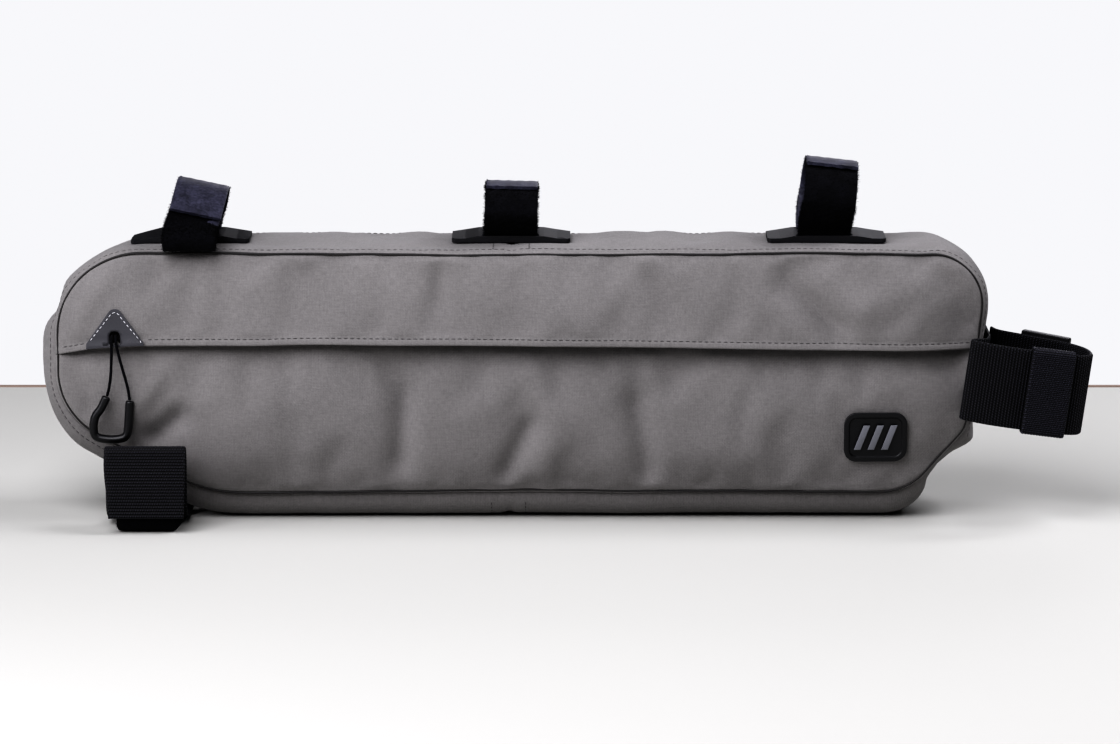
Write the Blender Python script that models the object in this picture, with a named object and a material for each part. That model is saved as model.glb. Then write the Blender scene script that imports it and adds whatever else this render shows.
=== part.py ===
"""A bicycle frame bag: a soft hollow bag of panels and a gusset, with a storm flap over
its zip, three hook-and-loop straps on top and a webbing strap at each end.

Lengths are metres, Z is up, the front faces -Y, and the bag stands on its flat bottom
band at Z = 0. The origin is on that band, under the middle of the bag.
"""

import math

import bmesh
import bpy
from mathutils import Matrix, Vector
from mathutils.bvhtree import BVHTree

# Body of the bag
SEAM_LENGTH = 0.4455
SEAM_HEIGHT = 0.116
SEAM_MIDDLE_X = 0.00325
SEAM_LEFT = SEAM_MIDDLE_X - SEAM_LENGTH / 2
SEAM_RIGHT = SEAM_LEFT + SEAM_LENGTH
DEPTH = 0.060
WALL = 0.0015
GAP = 0.0003
SEAT = 0.0005
FRONT_BULGE = 0.008
BACK_BULGE = 0.006
BULGE_REACH = 0.045
GUSSET_CROWN_TOP = 0.002
GUSSET_CROWN_BOTTOM = 0.0135
GUSSET_CROWN_LEFT = 0.0063
GUSSET_CROWN_RIGHT = 0.002
FOLD_DEPTH = 0.004

# Storm flap and zip
FLAP_OVERLAP = 0.0025
FLAP_LIFT = 0.0010
FLAP_LIFT_REACH = 0.015
FLAP_SLACK = 0.0008
RECESS_REACH = 0.030
END_TAPER = 0.012
ZIP_RISE = 0.0055
ZIP_END_MARGIN = 0.014
ZIP_TAPE_BELOW = 0.005
ZIP_TAPE_ABOVE = 0.016
ZIP_TAPE_THICKNESS = 0.001
ZIP_SLACK = 0.0014
COIL_WIDTH = 0.0045
COIL_THICKNESS = 0.0014
SLIDER_LENGTH = 0.011
SLIDER_THICKNESS = 0.0020

# Garage patch and its keyhole
GARAGE_INSET = 0.0295
GARAGE_X = SEAM_LEFT + GARAGE_INSET
GARAGE_WIDTH = 0.0275
GARAGE_HEIGHT = 0.0180
GARAGE_THICKNESS = 0.0012
GARAGE_FOOT = 0.0022
GARAGE_TOP_RADIUS = 0.0036
KEYHOLE_WIDTH = 0.0052
KEYHOLE_HEIGHT = 0.0062
KEYHOLE_RISE = 0.0018

# Pull cord and grip
CORD_DIAMETER = 0.0013
CORD_SPACING = 0.0018
GRIP_DIAMETER = 0.0044

# Top patches and hook-and-loop straps
PATCH_LENGTH = 0.0565
PATCH_DEPTH = 0.030
PATCH_THICKNESS = 0.0020
PATCH_BRIDGE = 0.0014
PATCH_FRONT_CHAMFER = 0.0015
PATCH_BACK_CHAMFER = 0.006
LOOP_WIDTH = 0.025
LOOP_THICKNESS = 0.0016
LOOP_DEPTH = 0.043
SLOT_SPACING = 0.0236
SLOT_WIDTH = 0.0034
SLOT_SIDE_CLEARANCE = 0.0010
SLOT_CUTTER_REACH = 0.010

# Webbing straps
WEBBING_WIDTH = 0.0386
WEBBING_THICKNESS = 0.0018
LEFT_STRAP_INSET = 0.0440
LEFT_STRAP_X = SEAM_LEFT + LEFT_STRAP_INSET
LEFT_STRAP_HEIGHT = 0.0395
LEFT_STRAP_REACH = 0.0635
TAB_WIDTH = 0.027
TAB_THICKNESS = 0.0015
TAB_SKEW = 0.007
RIGHT_STRAP_RISE = 0.0565
RIGHT_STRAP_Z = GUSSET_CROWN_BOTTOM + RIGHT_STRAP_RISE
RIGHT_STRAP_LENGTH = 0.050
RIGHT_STRAP_DEPTH = 0.0505
RIGHT_STRAP_DROOP = math.radians(8.0)
KEEPER_WIDTH = 0.0205
KEEPER_THICKNESS = 0.0012
KEEPER_ROOM = 0.0026
BUCKLE_LENGTH = 0.024
BUCKLE_HEIGHT = 0.042
BUCKLE_THICKNESS = 0.004
BUCKLE_BAR = 0.0035
BUCKLE_RAIL = 0.003

# Badge
BADGE_INSET = 0.0551
BADGE_RISE = 0.0285
BADGE_X = SEAM_RIGHT - BADGE_INSET
BADGE_Z = GUSSET_CROWN_BOTTOM + BADGE_RISE
BADGE_WIDTH = 0.030
BADGE_HEIGHT = 0.024
BADGE_CORNER = 0.006
BADGE_THICKNESS = 0.0020
BADGE_RIM = 0.0022
BADGE_DISH = 0.0012
BADGE_BAR_WIDTH = 0.0032
BADGE_BAR_HEIGHT = 0.0120
BADGE_BAR_PITCH = 0.0065
BADGE_BAR_SLANT = 0.0045
BADGE_BAR_THICKNESS = 0.0008

# Fineness of the meshes
PANEL_STEP = 0.011
BACK_STEP = 0.016
PAD_STEP = 0.006

# Corners of the seam outline, from the bottom seam round to the right. x and r are
# shares of the seam's length and height from its lower left, and steps and run count
# the pieces of the corner's round and of the straight run after it.
CORNER_COLUMNS = ("name", "x", "z", "front_r", "back_r", "steps", "run")
CORNERS = (
    ("bottom_seam", 0.484, 0.0, 0.0, 0.0, 0, 11),
    ("bottom_right", 0.915, 0.0, 0.22, 0.22, 4, 2),
    ("right_low", 0.976, 0.27, 0.12, 0.12, 3, 5),
    ("top_right", 1.0, 1.0, 0.21, 0.24, 6, 12),
    ("top_seam", 0.488, 1.0, 0.0, 0.0, 0, 10),
    ("top_left", 0.0, 1.0, 0.345, 0.47, 7, 2),
    ("left_low", 0.0, 0.332, 0.30, 0.30, 4, 4),
    ("bottom_left", 0.156, 0.0, 0.52, 0.52, 4, 8),
)

# Lower edge of the storm flap: shares of the seam's length and height.
FLAP_COLUMNS = ("x", "z")
FLAP_EDGE = (
    (0.0, 0.576),
    (0.04, 0.610),
    (0.09, 0.625),
    (0.30, 0.634),
    (0.55, 0.628),
    (1.0, 0.602),
)

# Gusset across its width: place as a share of half the depth, outward share of the crown.
GUSSET_COLUMNS = ("across", "crown")
GUSSET_PROFILE = (
    (-1.0, 0.0),
    (-0.90, 0.50),
    (-0.72, 0.86),
    (-0.47, 1.0),
    (0.0, 1.0),
    (0.47, 1.0),
    (0.72, 0.86),
    (0.90, 0.50),
    (1.0, 0.0),
)

# Folds and dents, as lines from one point to another in shares of the seam's length and
# height. width is a share of the height, and depth a share of the fold depth, outward.
FOLD_COLUMNS = ("name", "x0", "z0", "x1", "z1", "width", "depth")
UPPER_FOLDS = (
    ("diagonal_dent", 0.780, 0.873, 0.834, 0.699, 0.08, -0.9),
    ("fan_ridge_left", 0.822, 0.881, 0.856, 0.760, 0.07, 0.5),
    ("fan_ridge_right", 0.856, 0.760, 0.925, 0.873, 0.07, 0.5),
    ("corner_dent", 0.955, 0.860, 0.975, 0.720, 0.08, -0.5),
    ("dent_below_middle_strap", 0.410, 0.960, 0.412, 0.815, 0.09, -0.6),
    ("soft_swell", 0.532, 0.732, 0.560, 0.760, 0.12, 0.4),
    ("right_of_middle", 0.635, 0.894, 0.660, 0.769, 0.08, -0.5),
    ("broad_hollow", 0.269, 0.950, 0.269, 0.700, 0.14, -0.6),
    ("left_end_ridge", 0.050, 0.900, 0.020, 0.700, 0.06, 0.7),
)
LOWER_FOLDS = (
    ("crease_left", 0.372, 0.438, 0.370, 0.143, 0.06, -0.8),
    ("crease_middle", 0.508, 0.284, 0.481, 0.093, 0.05, -0.6),
    ("crease_right_of_middle", 0.535, 0.334, 0.523, 0.100, 0.06, 0.5),
    ("crease_right", 0.621, 0.380, 0.633, 0.093, 0.07, -0.6),
    ("hollow_under_grip", 0.106, 0.243, 0.134, 0.317, 0.06, -0.7),
    ("ridge_by_grip", 0.094, 0.372, 0.121, 0.480, 0.06, 0.5),
    ("badge_dent", 0.905, 0.080, 0.935, 0.120, 0.06, -0.4),
    ("long_sag", 0.200, 0.180, 0.800, 0.160, 0.16, 0.5),
)
BACK_FOLDS = (
    ("back_left_crease", 0.220, 0.700, 0.260, 0.250, 0.10, -0.5),
    ("back_middle_swell", 0.500, 0.450, 0.560, 0.420, 0.22, 0.5),
    ("back_right_crease", 0.760, 0.680, 0.720, 0.300, 0.10, -0.5),
)
GUSSET_FOLDS = (
    ("left_pleat", -0.004, 0.790, 0.010, 0.740, 0.055, -1.3),
    ("left_top_slump", 0.020, 0.930, 0.035, 0.970, 0.070, -0.7),
    ("low_right_pucker", 0.930, 0.080, 0.955, 0.170, 0.060, -0.9),
    ("low_right_ridge", 0.965, 0.210, 0.970, 0.240, 0.035, 0.4),
)

# Path of an upright top strap, from its inner end forward, down, under the patch's bridge
# and round to its outer end: y as a share of the loop's depth and h of its height. The run
# through the slots is worked out from the slots.
LOOP_COLUMNS = ("y", "h")
UPRIGHT_FRONT = ((0.16, 0.895), (0.0, 0.925), (-0.19, 0.895), (-0.38, 0.77), (-0.485, 0.55),
                 (-0.43, 0.33), (-0.32, 0.19))
UPRIGHT_BACK = ((0.32, 0.19), (0.43, 0.33), (0.495, 0.56), (0.42, 0.80), (0.20, 0.965),
                (0.0, 0.995), (-0.21, 0.965), (-0.36, 0.875))
SLUMPED_FRONT = ((0.10, 0.890), (-0.08, 0.895), (-0.30, 0.82), (-0.62, 0.56), (-0.90, 0.25),
                 (-0.905, 0.06), (-0.78, 0.01), (-0.60, 0.14), (-0.40, 0.255))
SLUMPED_BACK = ((0.34, 0.24), (0.40, 0.42), (0.36, 0.70), (0.20, 0.94), (-0.02, 1.0),
                (-0.24, 0.965), (-0.50, 0.80), (-0.70, 0.60))

# Top straps: the patch's place as a share of the seam's length, the strap's shift in it as
# a share of the patch's length, the strap's height, its lean to the right in degrees, and
# how many points of the outer end's path are used.
TOP_COLUMNS = ("name", "place", "shift", "height", "lean", "front", "back", "end_points")
TOP_STRAPS = (
    ("left", 0.1437, 0.018, 0.0270, 12.0, SLUMPED_FRONT, SLUMPED_BACK, 8),
    ("middle", 0.4873, -0.005, 0.0270, 1.5, UPRIGHT_FRONT, UPRIGHT_BACK, 7),
    ("right", 0.8251, -0.019, 0.0380, 6.5, UPRIGHT_FRONT, UPRIGHT_BACK, 7),
)

# Left strap's paths: y as a share of its reach forward, z as a share of its height.
LEFT_WEBBING_PATH = ((-0.33, 0.070), (-0.46, 0.073), (-0.60, 0.115), (-0.70, 0.25),
                     (-0.717, 0.55), (-0.72, 0.83), (-0.756, 0.965), (-0.825, 0.965),
                     (-0.90, 0.75), (-0.965, 0.40), (-0.992, 0.19))
LEFT_TAB_PATH = ((-0.08, 0.020), (-0.22, 0.026), (-0.34, 0.020), (-0.50, 0.020), (-0.82, 0.020),
                 (-0.915, 0.062), (-0.950, 0.20), (-0.930, 0.38), (-0.880, 0.60))

# Right strap's path: x as a share of its length out from the bag's end, y as a share of
# its reach forward.
RIGHT_PATH = ((0.045, 0.16), (0.045, -0.16), (0.045, -0.42), (0.0, -0.68), (-0.13, -0.81),
              (-0.12, -0.905), (0.10, -0.985), (0.42, -1.0), (0.80, -0.96), (0.97, -0.84),
              (1.0, -0.61), (0.94, -0.40), (0.76, -0.24), (0.44, -0.14), (0.17, -0.055),
              (0.105, 0.08))

FABRIC = ("bag_canvas", "7D7977", 0.85, 0.0)
PATCHES = ("patch_laminate", "17171A", 0.55, 0.0)
HOOK_LOOP = ("hook_and_loop_tape", "131318", 0.95, 0.0)
WEBBING = ("ribbed_webbing", "141418", 0.80, 0.0)
MOULDED = ("moulded_plastic", "151518", 0.45, 0.0)
GARAGE = ("garage_rubber", "3C3D4C", 0.50, 0.0)
ZIP = ("zip_nylon", "1A1A1D", 0.50, 0.0)
BADGE = ("badge_rubber", "111113", 0.55, 0.0)
BADGE_GREY = ("badge_bars", "8D8F94", 0.60, 0.0)


def row(columns, values):
    """One table row as a dictionary by column name."""
    return dict(zip(columns, values, strict=True))


def linear(hex_colour):
    """An sRGB hex colour as linear red, green, blue and full alpha."""
    parts = [int(hex_colour[k:k + 2], 16) / 255 for k in (0, 2, 4)]
    return [c / 12.92 if c <= 0.04045 else ((c + 0.055) / 1.055) ** 2.4 for c in parts] + [1.0]


def material(name, hex_colour, roughness, metallic):
    """The named Principled material, made once."""
    found = bpy.data.materials.get(name)
    if found:
        return found
    made = bpy.data.materials.new(name)
    made.use_nodes = True
    shader = made.node_tree.nodes["Principled BSDF"]
    shader.inputs["Base Color"].default_value = linear(hex_colour)
    shader.inputs["Roughness"].default_value = roughness
    shader.inputs["Metallic"].default_value = metallic
    made.diffuse_color = linear(hex_colour)
    return made


def add_object(name, bm, finish, smooth_angle=math.radians(40)):
    """A bmesh as a named object with its material."""
    mesh = bpy.data.meshes.new(name)
    bm.to_mesh(mesh)
    bm.free()
    mesh.shade_smooth()
    mesh.set_sharp_from_angle(angle=smooth_angle)
    mesh.materials.append(material(*finish))
    made = bpy.data.objects.new(name, mesh)
    bpy.context.scene.collection.objects.link(made)
    return made


def smooth_step(share):
    """An ease from 0 to 1."""
    share = min(max(share, 0.0), 1.0)
    return share * share * (3 - 2 * share)


def smooth_path(points, per_span):
    """Points along the smooth open curve that passes through the given ones."""
    count = len(points)
    path = []
    for k in range(count - 1):
        before = points[max(k - 1, 0)]
        start, end = points[k], points[k + 1]
        after = points[min(k + 2, count - 1)]
        for s in range(per_span):
            t = s / per_span
            path.append(0.5 * (2 * start + (end - before) * t
                               + (2 * before - 5 * start + 4 * end - after) * t ** 2
                               + (3 * start - before - 3 * end + after) * t ** 3))
    path.append(points[-1].copy())
    return path


def seam_point(x_share, z_share):
    """A place on the front view given in shares of the seam's length and height."""
    return Vector((SEAM_LEFT + x_share * SEAM_LENGTH,
                   GUSSET_CROWN_BOTTOM + z_share * SEAM_HEIGHT))


def corner_round(previous, corner, following, radius, steps):
    """The arc that rounds one corner of the outline."""
    back = (previous - corner).normalized()
    ahead = (following - corner).normalized()
    half = back.angle(ahead) / 2
    centre = corner + (back + ahead).normalized() * (radius / math.sin(half))
    start = corner + back * (radius / math.tan(half)) - centre
    sweep = math.pi - 2 * half
    arc = []
    for s in range(steps + 1):
        turned = Matrix.Rotation(sweep * s / steps, 2) @ start
        arc.append(centre + turned)
    return arc


def seam_outline(radius_column):
    """The seam's closed outline in the XZ plane, and the station of each named corner."""
    rows = [row(CORNER_COLUMNS, values) for values in CORNERS]
    corners = [seam_point(r["x"], r["z"]) for r in rows]
    arcs = []
    for k, r in enumerate(rows):
        if r["steps"] == 0:
            arcs.append([corners[k]])
            continue
        arcs.append(corner_round(corners[k - 1], corners[k], corners[(k + 1) % len(rows)],
                                 r[radius_column] * SEAM_HEIGHT, r["steps"]))
    points, stations = [], {}
    for k, r in enumerate(rows):
        stations[r["name"]] = len(points)
        points += arcs[k]
        start, end = arcs[k][-1], arcs[(k + 1) % len(rows)][0]
        points += [start.lerp(end, s / r["run"]) for s in range(1, r["run"])]
    return points, stations


FRONT_OUTLINE, STATIONS = seam_outline("front_r")
BACK_OUTLINE, _ = seam_outline("back_r")


def edge_distance(x, z, outline):
    """The distance from a place on a panel to its seam."""
    place = Vector((x, z))
    nearest = 1.0
    for k, end in enumerate(outline):
        start = outline[k - 1]
        run = end - start
        along = min(max((place - start).dot(run) / run.length_squared, 0.0), 1.0)
        nearest = min(nearest, (place - start - run * along).length)
    return nearest


def fold_height(x, z, folds):
    """How far the folds of one table push a panel outward at a place."""
    place = Vector((x, z))
    total = 0.0
    for values in folds:
        r = row(FOLD_COLUMNS, values)
        start, end = seam_point(r["x0"], r["z0"]), seam_point(r["x1"], r["z1"])
        run = end - start
        along = min(max((place - start).dot(run) / run.length_squared, 0.0), 1.0)
        away = (place - start - run * along).length / (r["width"] * SEAM_HEIGHT)
        total += r["depth"] * FOLD_DEPTH * math.exp(-away * away)
    return total


def crown(distance):
    """The share of a panel's bulge at a distance from its seam."""
    return 1 - (1 - min(distance / BULGE_REACH, 1.0)) ** 2


def flap_z(x):
    """The height of the storm flap's lower edge."""
    share = min(max((x - SEAM_LEFT) / SEAM_LENGTH, 0.0), 1.0)
    for (x0, z0), (x1, z1) in zip(FLAP_EDGE, FLAP_EDGE[1:]):
        if share <= x1:
            part = (share - x0) / (x1 - x0)
            return seam_point(0.0, z0 + (z1 - z0) * part).y
    return seam_point(0.0, FLAP_EDGE[-1][1]).y


def upper_y(x, z):
    """The outer face of the upper front panel."""
    away = edge_distance(x, z, FRONT_OUTLINE)
    taper = smooth_step(away / END_TAPER)
    lift = FLAP_LIFT * smooth_step(1 - (z - flap_z(x)) / FLAP_LIFT_REACH) * taper
    folds = fold_height(x, z, UPPER_FOLDS) * taper
    return -(DEPTH / 2 + FRONT_BULGE * crown(away) + lift + folds)


def lower_y(x, z):
    """The outer face of the lower front panel, set back where it goes under the flap."""
    away = edge_distance(x, z, FRONT_OUTLINE)
    taper = smooth_step(away / END_TAPER)
    below = (flap_z(x) - z) / RECESS_REACH
    recess = (WALL + GAP + FLAP_SLACK) * smooth_step(1 - below) * taper
    folds = fold_height(x, z, LOWER_FOLDS) * taper * smooth_step(below)
    place = -(DEPTH / 2 + FRONT_BULGE * crown(away) - recess + folds)
    if z > flap_z(x) - FLAP_OVERLAP:
        tucked = upper_y(x, z) + WALL + GAP + FLAP_SLACK * taper
        place = max(place, tucked) if taper > 0.5 else place
    return place


def back_y(x, z):
    """The outer face of the back panel."""
    away = edge_distance(x, z, BACK_OUTLINE)
    taper = smooth_step(away / END_TAPER)
    return DEPTH / 2 + BACK_BULGE * crown(away) + fold_height(x, z, BACK_FOLDS) * taper


def lower_top_z(x):
    """The upper edge of the lower front panel: under the flap, except near its ends."""
    inside = min(x - SEAM_LEFT, SEAM_RIGHT - x)
    return flap_z(x) - GAP + (FLAP_OVERLAP + GAP) * smooth_step(inside / END_TAPER / 2 - 0.5)


def clipped(outline, limit, keep_above):
    """The part of an outline on one side of the line z = limit(x), with that line's points."""
    sign = 1 if keep_above else -1
    side = [sign * (p.y - limit(p.x)) for p in outline]
    start = next(k for k in range(len(outline)) if side[k - 1] < 0 <= side[k])
    kept = []
    for k in range(start, start + len(outline)):
        here, there = outline[k % len(outline)], outline[(k - 1) % len(outline)]
        a, b = side[k % len(outline)], side[(k - 1) % len(outline)]
        if (a >= 0) != (b >= 0):
            kept.append(here.lerp(there, a / (a - b)))
        if a >= 0:
            kept.append(here)
    first, last = kept[0], kept[-1]
    count = round(abs(first.x - last.x) / PANEL_STEP)
    for s in range(1, count):
        x = last.x + (first.x - last.x) * s / count
        kept.append(Vector((x, limit(x))))
    return kept


def grid_sheet(polygon, step):
    """A flat sheet in the XY plane with the polygon's outline, cut into a grid."""
    bm = bmesh.new()
    bm.faces.new([bm.verts.new((p[0], p[1], 0.0)) for p in polygon])
    for axis in (0, 1):
        low = min(p[axis] for p in polygon)
        high = max(p[axis] for p in polygon)
        count = max(round((high - low) / step[axis]), 1)
        normal = Vector((1 - axis, axis, 0))
        for k in range(1, count):
            bmesh.ops.bisect_plane(bm, geom=bm.verts[:] + bm.edges[:] + bm.faces[:],
                                   dist=1e-6, plane_no=normal,
                                   plane_co=normal * (low + (high - low) * k / count))
    bmesh.ops.remove_doubles(bm, verts=bm.verts[:], dist=min(step) / 12)
    bmesh.ops.triangulate(bm, faces=bm.faces[:])
    return bm


def laid_solid(name, polygon, step, place, lift, thickness, finish):
    """A sheet of some thickness laid on a surface. place turns the sheet's two coordinates
    and a height above the surface into a point."""
    bm = grid_sheet(polygon, step if isinstance(step, tuple) else (step, step))
    grown = bmesh.ops.extrude_face_region(bm, geom=bm.faces[:])["geom"]
    top = {v for v in grown if isinstance(v, bmesh.types.BMVert)}
    for v in bm.verts:
        a, b = v.co.x, v.co.y
        v.co = place(a, b, lift + thickness(a, b) if v in top else lift)
    bmesh.ops.recalc_face_normals(bm, faces=bm.faces[:])
    return add_object(name, bm, finish)


def on_face(surface, outward):
    """A placing function for pieces on a front or back panel."""
    return lambda a, b, height: Vector((a, surface(a, b) + outward * height, b))


def tree_of(made):
    """The search tree of a finished mesh, for pieces that are laid on it."""
    mesh = made.data
    return BVHTree.FromPolygons([v.co.copy() for v in mesh.vertices],
                                [tuple(face.vertices) for face in mesh.polygons])


def on_front_of(tree):
    """A placing function for pieces laid on the front of a finished panel."""
    def place(a, b, height):
        face = tree.ray_cast(Vector((a, -1.0, b)), Vector((0, 1, 0)))[0]
        return Vector((a, face.y - height, b))
    return place


def make_panels():
    """The two front panels and the back panel."""
    wall = lambda a, b: WALL
    upper = laid_solid("front_upper_panel", clipped(FRONT_OUTLINE, flap_z, True), PANEL_STEP,
                       on_face(upper_y, -1), -WALL, wall, FABRIC)
    lower = laid_solid("front_lower_panel", clipped(FRONT_OUTLINE, lower_top_z, False), PANEL_STEP,
                       on_face(lower_y, -1), -WALL, wall, FABRIC)
    laid_solid("back_panel", BACK_OUTLINE, BACK_STEP, on_face(back_y, 1), -WALL, wall, FABRIC)
    return upper, lower


def gusset_sheet(first, last):
    """The gusset's outer face between two stations of the outline."""
    count = len(FRONT_OUTLINE)
    half = DEPTH / 2 - WALL - GAP
    bm = bmesh.new()
    rows = []
    for station in range(first, last + 1):
        k = station % count
        run = FRONT_OUTLINE[(k + 1) % count] - FRONT_OUTLINE[k - 1]
        out = Vector((run.y, -run.x)).normalized()
        size = (GUSSET_CROWN_TOP * max(out.y, 0) ** 2 + GUSSET_CROWN_BOTTOM * min(out.y, 0) ** 2
                + GUSSET_CROWN_RIGHT * max(out.x, 0) ** 2 + GUSSET_CROWN_LEFT * min(out.x, 0) ** 2)
        inset = GAP / 2 if station == first else -GAP / 2 if station == last else 0.0
        verts = []
        for values in GUSSET_PROFILE:
            r = row(GUSSET_COLUMNS, values)
            seam = FRONT_OUTLINE[k].lerp(BACK_OUTLINE[k], (r["across"] + 1) / 2)
            folds = fold_height(seam.x, seam.y, GUSSET_FOLDS) * r["crown"]
            place = seam + out * (size * r["crown"] + folds) + run.normalized() * inset
            verts.append(bm.verts.new((place.x, r["across"] * half, place.y)))
        rows.append(verts)
    for near, far in zip(rows, rows[1:]):
        for k in range(len(near) - 1):
            bm.faces.new((near[k], near[k + 1], far[k + 1], far[k]))
    bm.normal_update()
    return bm


def thickened(made, thickness, offset):
    """A Solidify on a sheet object."""
    solid = made.modifiers.new("wall", "SOLIDIFY")
    solid.thickness = thickness
    solid.offset = offset
    return made


def make_gusset():
    """The two halves of the gusset, and the tree that pieces on top are laid on."""
    bottom, top = STATIONS["bottom_seam"], STATIONS["top_seam"]
    right = gusset_sheet(bottom, top)
    left = gusset_sheet(top, bottom + len(FRONT_OUTLINE))
    grounds = [BVHTree.FromBMesh(right), BVHTree.FromBMesh(left)]
    thickened(add_object("gusset_right_half", right, FABRIC), WALL, -1)
    thickened(add_object("gusset_left_half", left, FABRIC), WALL, -1)
    return grounds


def ground_z(grounds, x, y):
    """The height of the gusset's top under a place."""
    above = Vector((x, y, 1.0))
    hits = [tree.ray_cast(above, Vector((0, 0, -1)))[0] for tree in grounds]
    return max(hit.z for hit in hits if hit)


def zip_y(x, rise):
    """The outer face of the zip tape at a height over the flap's edge: behind the lower
    panel, then up to the upper one."""
    z = flap_z(x) + rise
    deep = upper_y(x, z) + 2 * WALL + 2 * GAP + FLAP_SLACK + ZIP_SLACK
    if rise < FLAP_OVERLAP + GAP:
        deep = max(deep, lower_y(x, z) + WALL + GAP + ZIP_SLACK)
    shallow = upper_y(x, z) + WALL + 2 * SEAT
    straight = ZIP_RISE + COIL_WIDTH
    return deep + (shallow - deep) * smooth_step((rise - straight) / (ZIP_TAPE_ABOVE - straight))


def on_zip(outward):
    """A placing function for long bands that follow the flap's edge."""
    return lambda a, b, height: Vector((a, zip_y(a, b) + outward * height, flap_z(a) + b))


def band(x0, x1, low, high):
    """A long band between two heights over the flap's edge, as a polygon."""
    return [Vector((x0, low)), Vector((x1, low)), Vector((x1, high)), Vector((x0, high))]


def make_zip():
    """The tape, the closed coil and the slider behind the keyhole."""
    left = SEAM_LEFT + ZIP_END_MARGIN
    right = SEAM_RIGHT - ZIP_END_MARGIN
    step = (PANEL_STEP, ZIP_TAPE_ABOVE / 4)
    laid_solid("zip_tape", band(left, right, -ZIP_TAPE_BELOW, ZIP_TAPE_ABOVE), step, on_zip(1),
               0.0, lambda a, b: ZIP_TAPE_THICKNESS, ZIP)
    low, high = ZIP_RISE - COIL_WIDTH / 2, ZIP_RISE + COIL_WIDTH / 2
    start = GARAGE_X + SLIDER_LENGTH / 2 + GAP
    laid_solid("zip_coil", band(start, right - ZIP_END_MARGIN / 2, low, high), step, on_zip(-1),
               2 * SEAT, lambda a, b: COIL_THICKNESS, ZIP)
    slider_width = 2 * (ZIP_RISE - FLAP_OVERLAP - GAP)
    bm = bmesh.new()
    bmesh.ops.create_cube(bm, size=1.0)
    bmesh.ops.scale(bm, vec=(SLIDER_LENGTH, SLIDER_THICKNESS, slider_width), verts=bm.verts[:])
    bmesh.ops.bevel(bm, geom=[e for e in bm.edges if abs(e.verts[0].co.y - e.verts[1].co.y) > 1e-5],
                    offset=slider_width / 4, segments=2, profile=0.5, affect="EDGES")
    slider = add_object("zip_slider", bm, MOULDED)
    z = flap_z(GARAGE_X) + ZIP_RISE
    places = [zip_y(GARAGE_X + sx * SLIDER_LENGTH / 2, ZIP_RISE + sz * slider_width / 2)
              for sx in (-1, 0, 1) for sz in (-1, 0, 1)]
    slider.location = (GARAGE_X, min(places) - GAP - SLIDER_THICKNESS / 2, z)


def keyhole_cutter():
    """A guide solid with the keyhole's arched outline."""
    bm = bmesh.new()
    half, steps = KEYHOLE_WIDTH / 2, 6
    low = flap_z(GARAGE_X) + KEYHOLE_RISE
    spring = low + KEYHOLE_HEIGHT - half
    outline = [(GARAGE_X - half, low), (GARAGE_X + half, low)]
    outline += [(GARAGE_X + half * math.cos(math.pi * k / steps),
                 spring + half * math.sin(math.pi * k / steps)) for k in range(steps + 1)]
    front = -DEPTH
    face = bm.faces.new([bm.verts.new((x, front, z)) for x, z in outline])
    grown = bmesh.ops.extrude_face_region(bm, geom=[face])["geom"]
    bmesh.ops.translate(bm, vec=(0, DEPTH * 0.75, 0),
                        verts=[v for v in grown if isinstance(v, bmesh.types.BMVert)])
    bmesh.ops.recalc_face_normals(bm, faces=bm.faces[:])
    cutter = add_object("keyhole_cutter", bm, MOULDED)
    return hidden(cutter)


def hidden(cutter):
    """A cutter, out of the render."""
    cutter.hide_render = True
    cutter.display_type = "WIRE"
    return cutter


def cut(made, cutter):
    """A difference with a cutter."""
    boolean = made.modifiers.new("cut", "BOOLEAN")
    boolean.operation = "DIFFERENCE"
    boolean.object = cutter
    boolean.solver = "EXACT"


def garage_polygon():
    """The garage patch's outline: a triangle with a round top, on the flap's edge."""
    half = GARAGE_WIDTH / 2
    points = []
    for share in (-1.0, -0.5, 0.0, 0.5, 1.0):
        x = GARAGE_X + half * share
        points.append(Vector((x, flap_z(x) + SEAT)))
    edge = flap_z(GARAGE_X) + SEAT
    points.append(Vector((GARAGE_X + half, edge + GARAGE_FOOT)))
    top = Vector((GARAGE_X, edge + GARAGE_HEIGHT - GARAGE_TOP_RADIUS))
    for k in range(5):
        turn = math.radians(30 + 30 * k)
        points.append(top + Vector((math.cos(turn), math.sin(turn))) * GARAGE_TOP_RADIUS)
    points.append(Vector((GARAGE_X - half, edge + GARAGE_FOOT / 2)))
    return points


def make_garage(upper):
    """The garage patch, and its keyhole through the patch and the flap."""
    garage = laid_solid("zip_garage", garage_polygon(), PAD_STEP / 2, on_front_of(tree_of(upper)),
                        SEAT, lambda a, b: GARAGE_THICKNESS, GARAGE)
    cutter = keyhole_cutter()
    cut(garage, cutter)
    cut(upper, cutter)


def cord_routes():
    """The chosen points of the two strands, from the slider's eye to the grip."""
    left = ((-0.19140, -0.03560, 0.0908), (-0.19140, -0.03900, 0.0908),
            (-0.19140, -0.04110, 0.0895), (-0.19140, -0.04200, 0.0866),
            (-0.19150, -0.04190, 0.0810), (-0.19200, -0.04110, 0.0725),
            (-0.19290, -0.04010, 0.0665), (-0.19400, -0.03930, 0.0622))
    right = ((-0.18960, -0.03560, 0.0908), (-0.18960, -0.03900, 0.0908),
             (-0.18940, -0.04110, 0.0895), (-0.18900, -0.04200, 0.0866),
             (-0.18780, -0.04190, 0.0810), (-0.18560, -0.04110, 0.0725),
             (-0.18420, -0.04010, 0.0665), (-0.18330, -0.03930, 0.0602))
    return left, right


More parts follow.
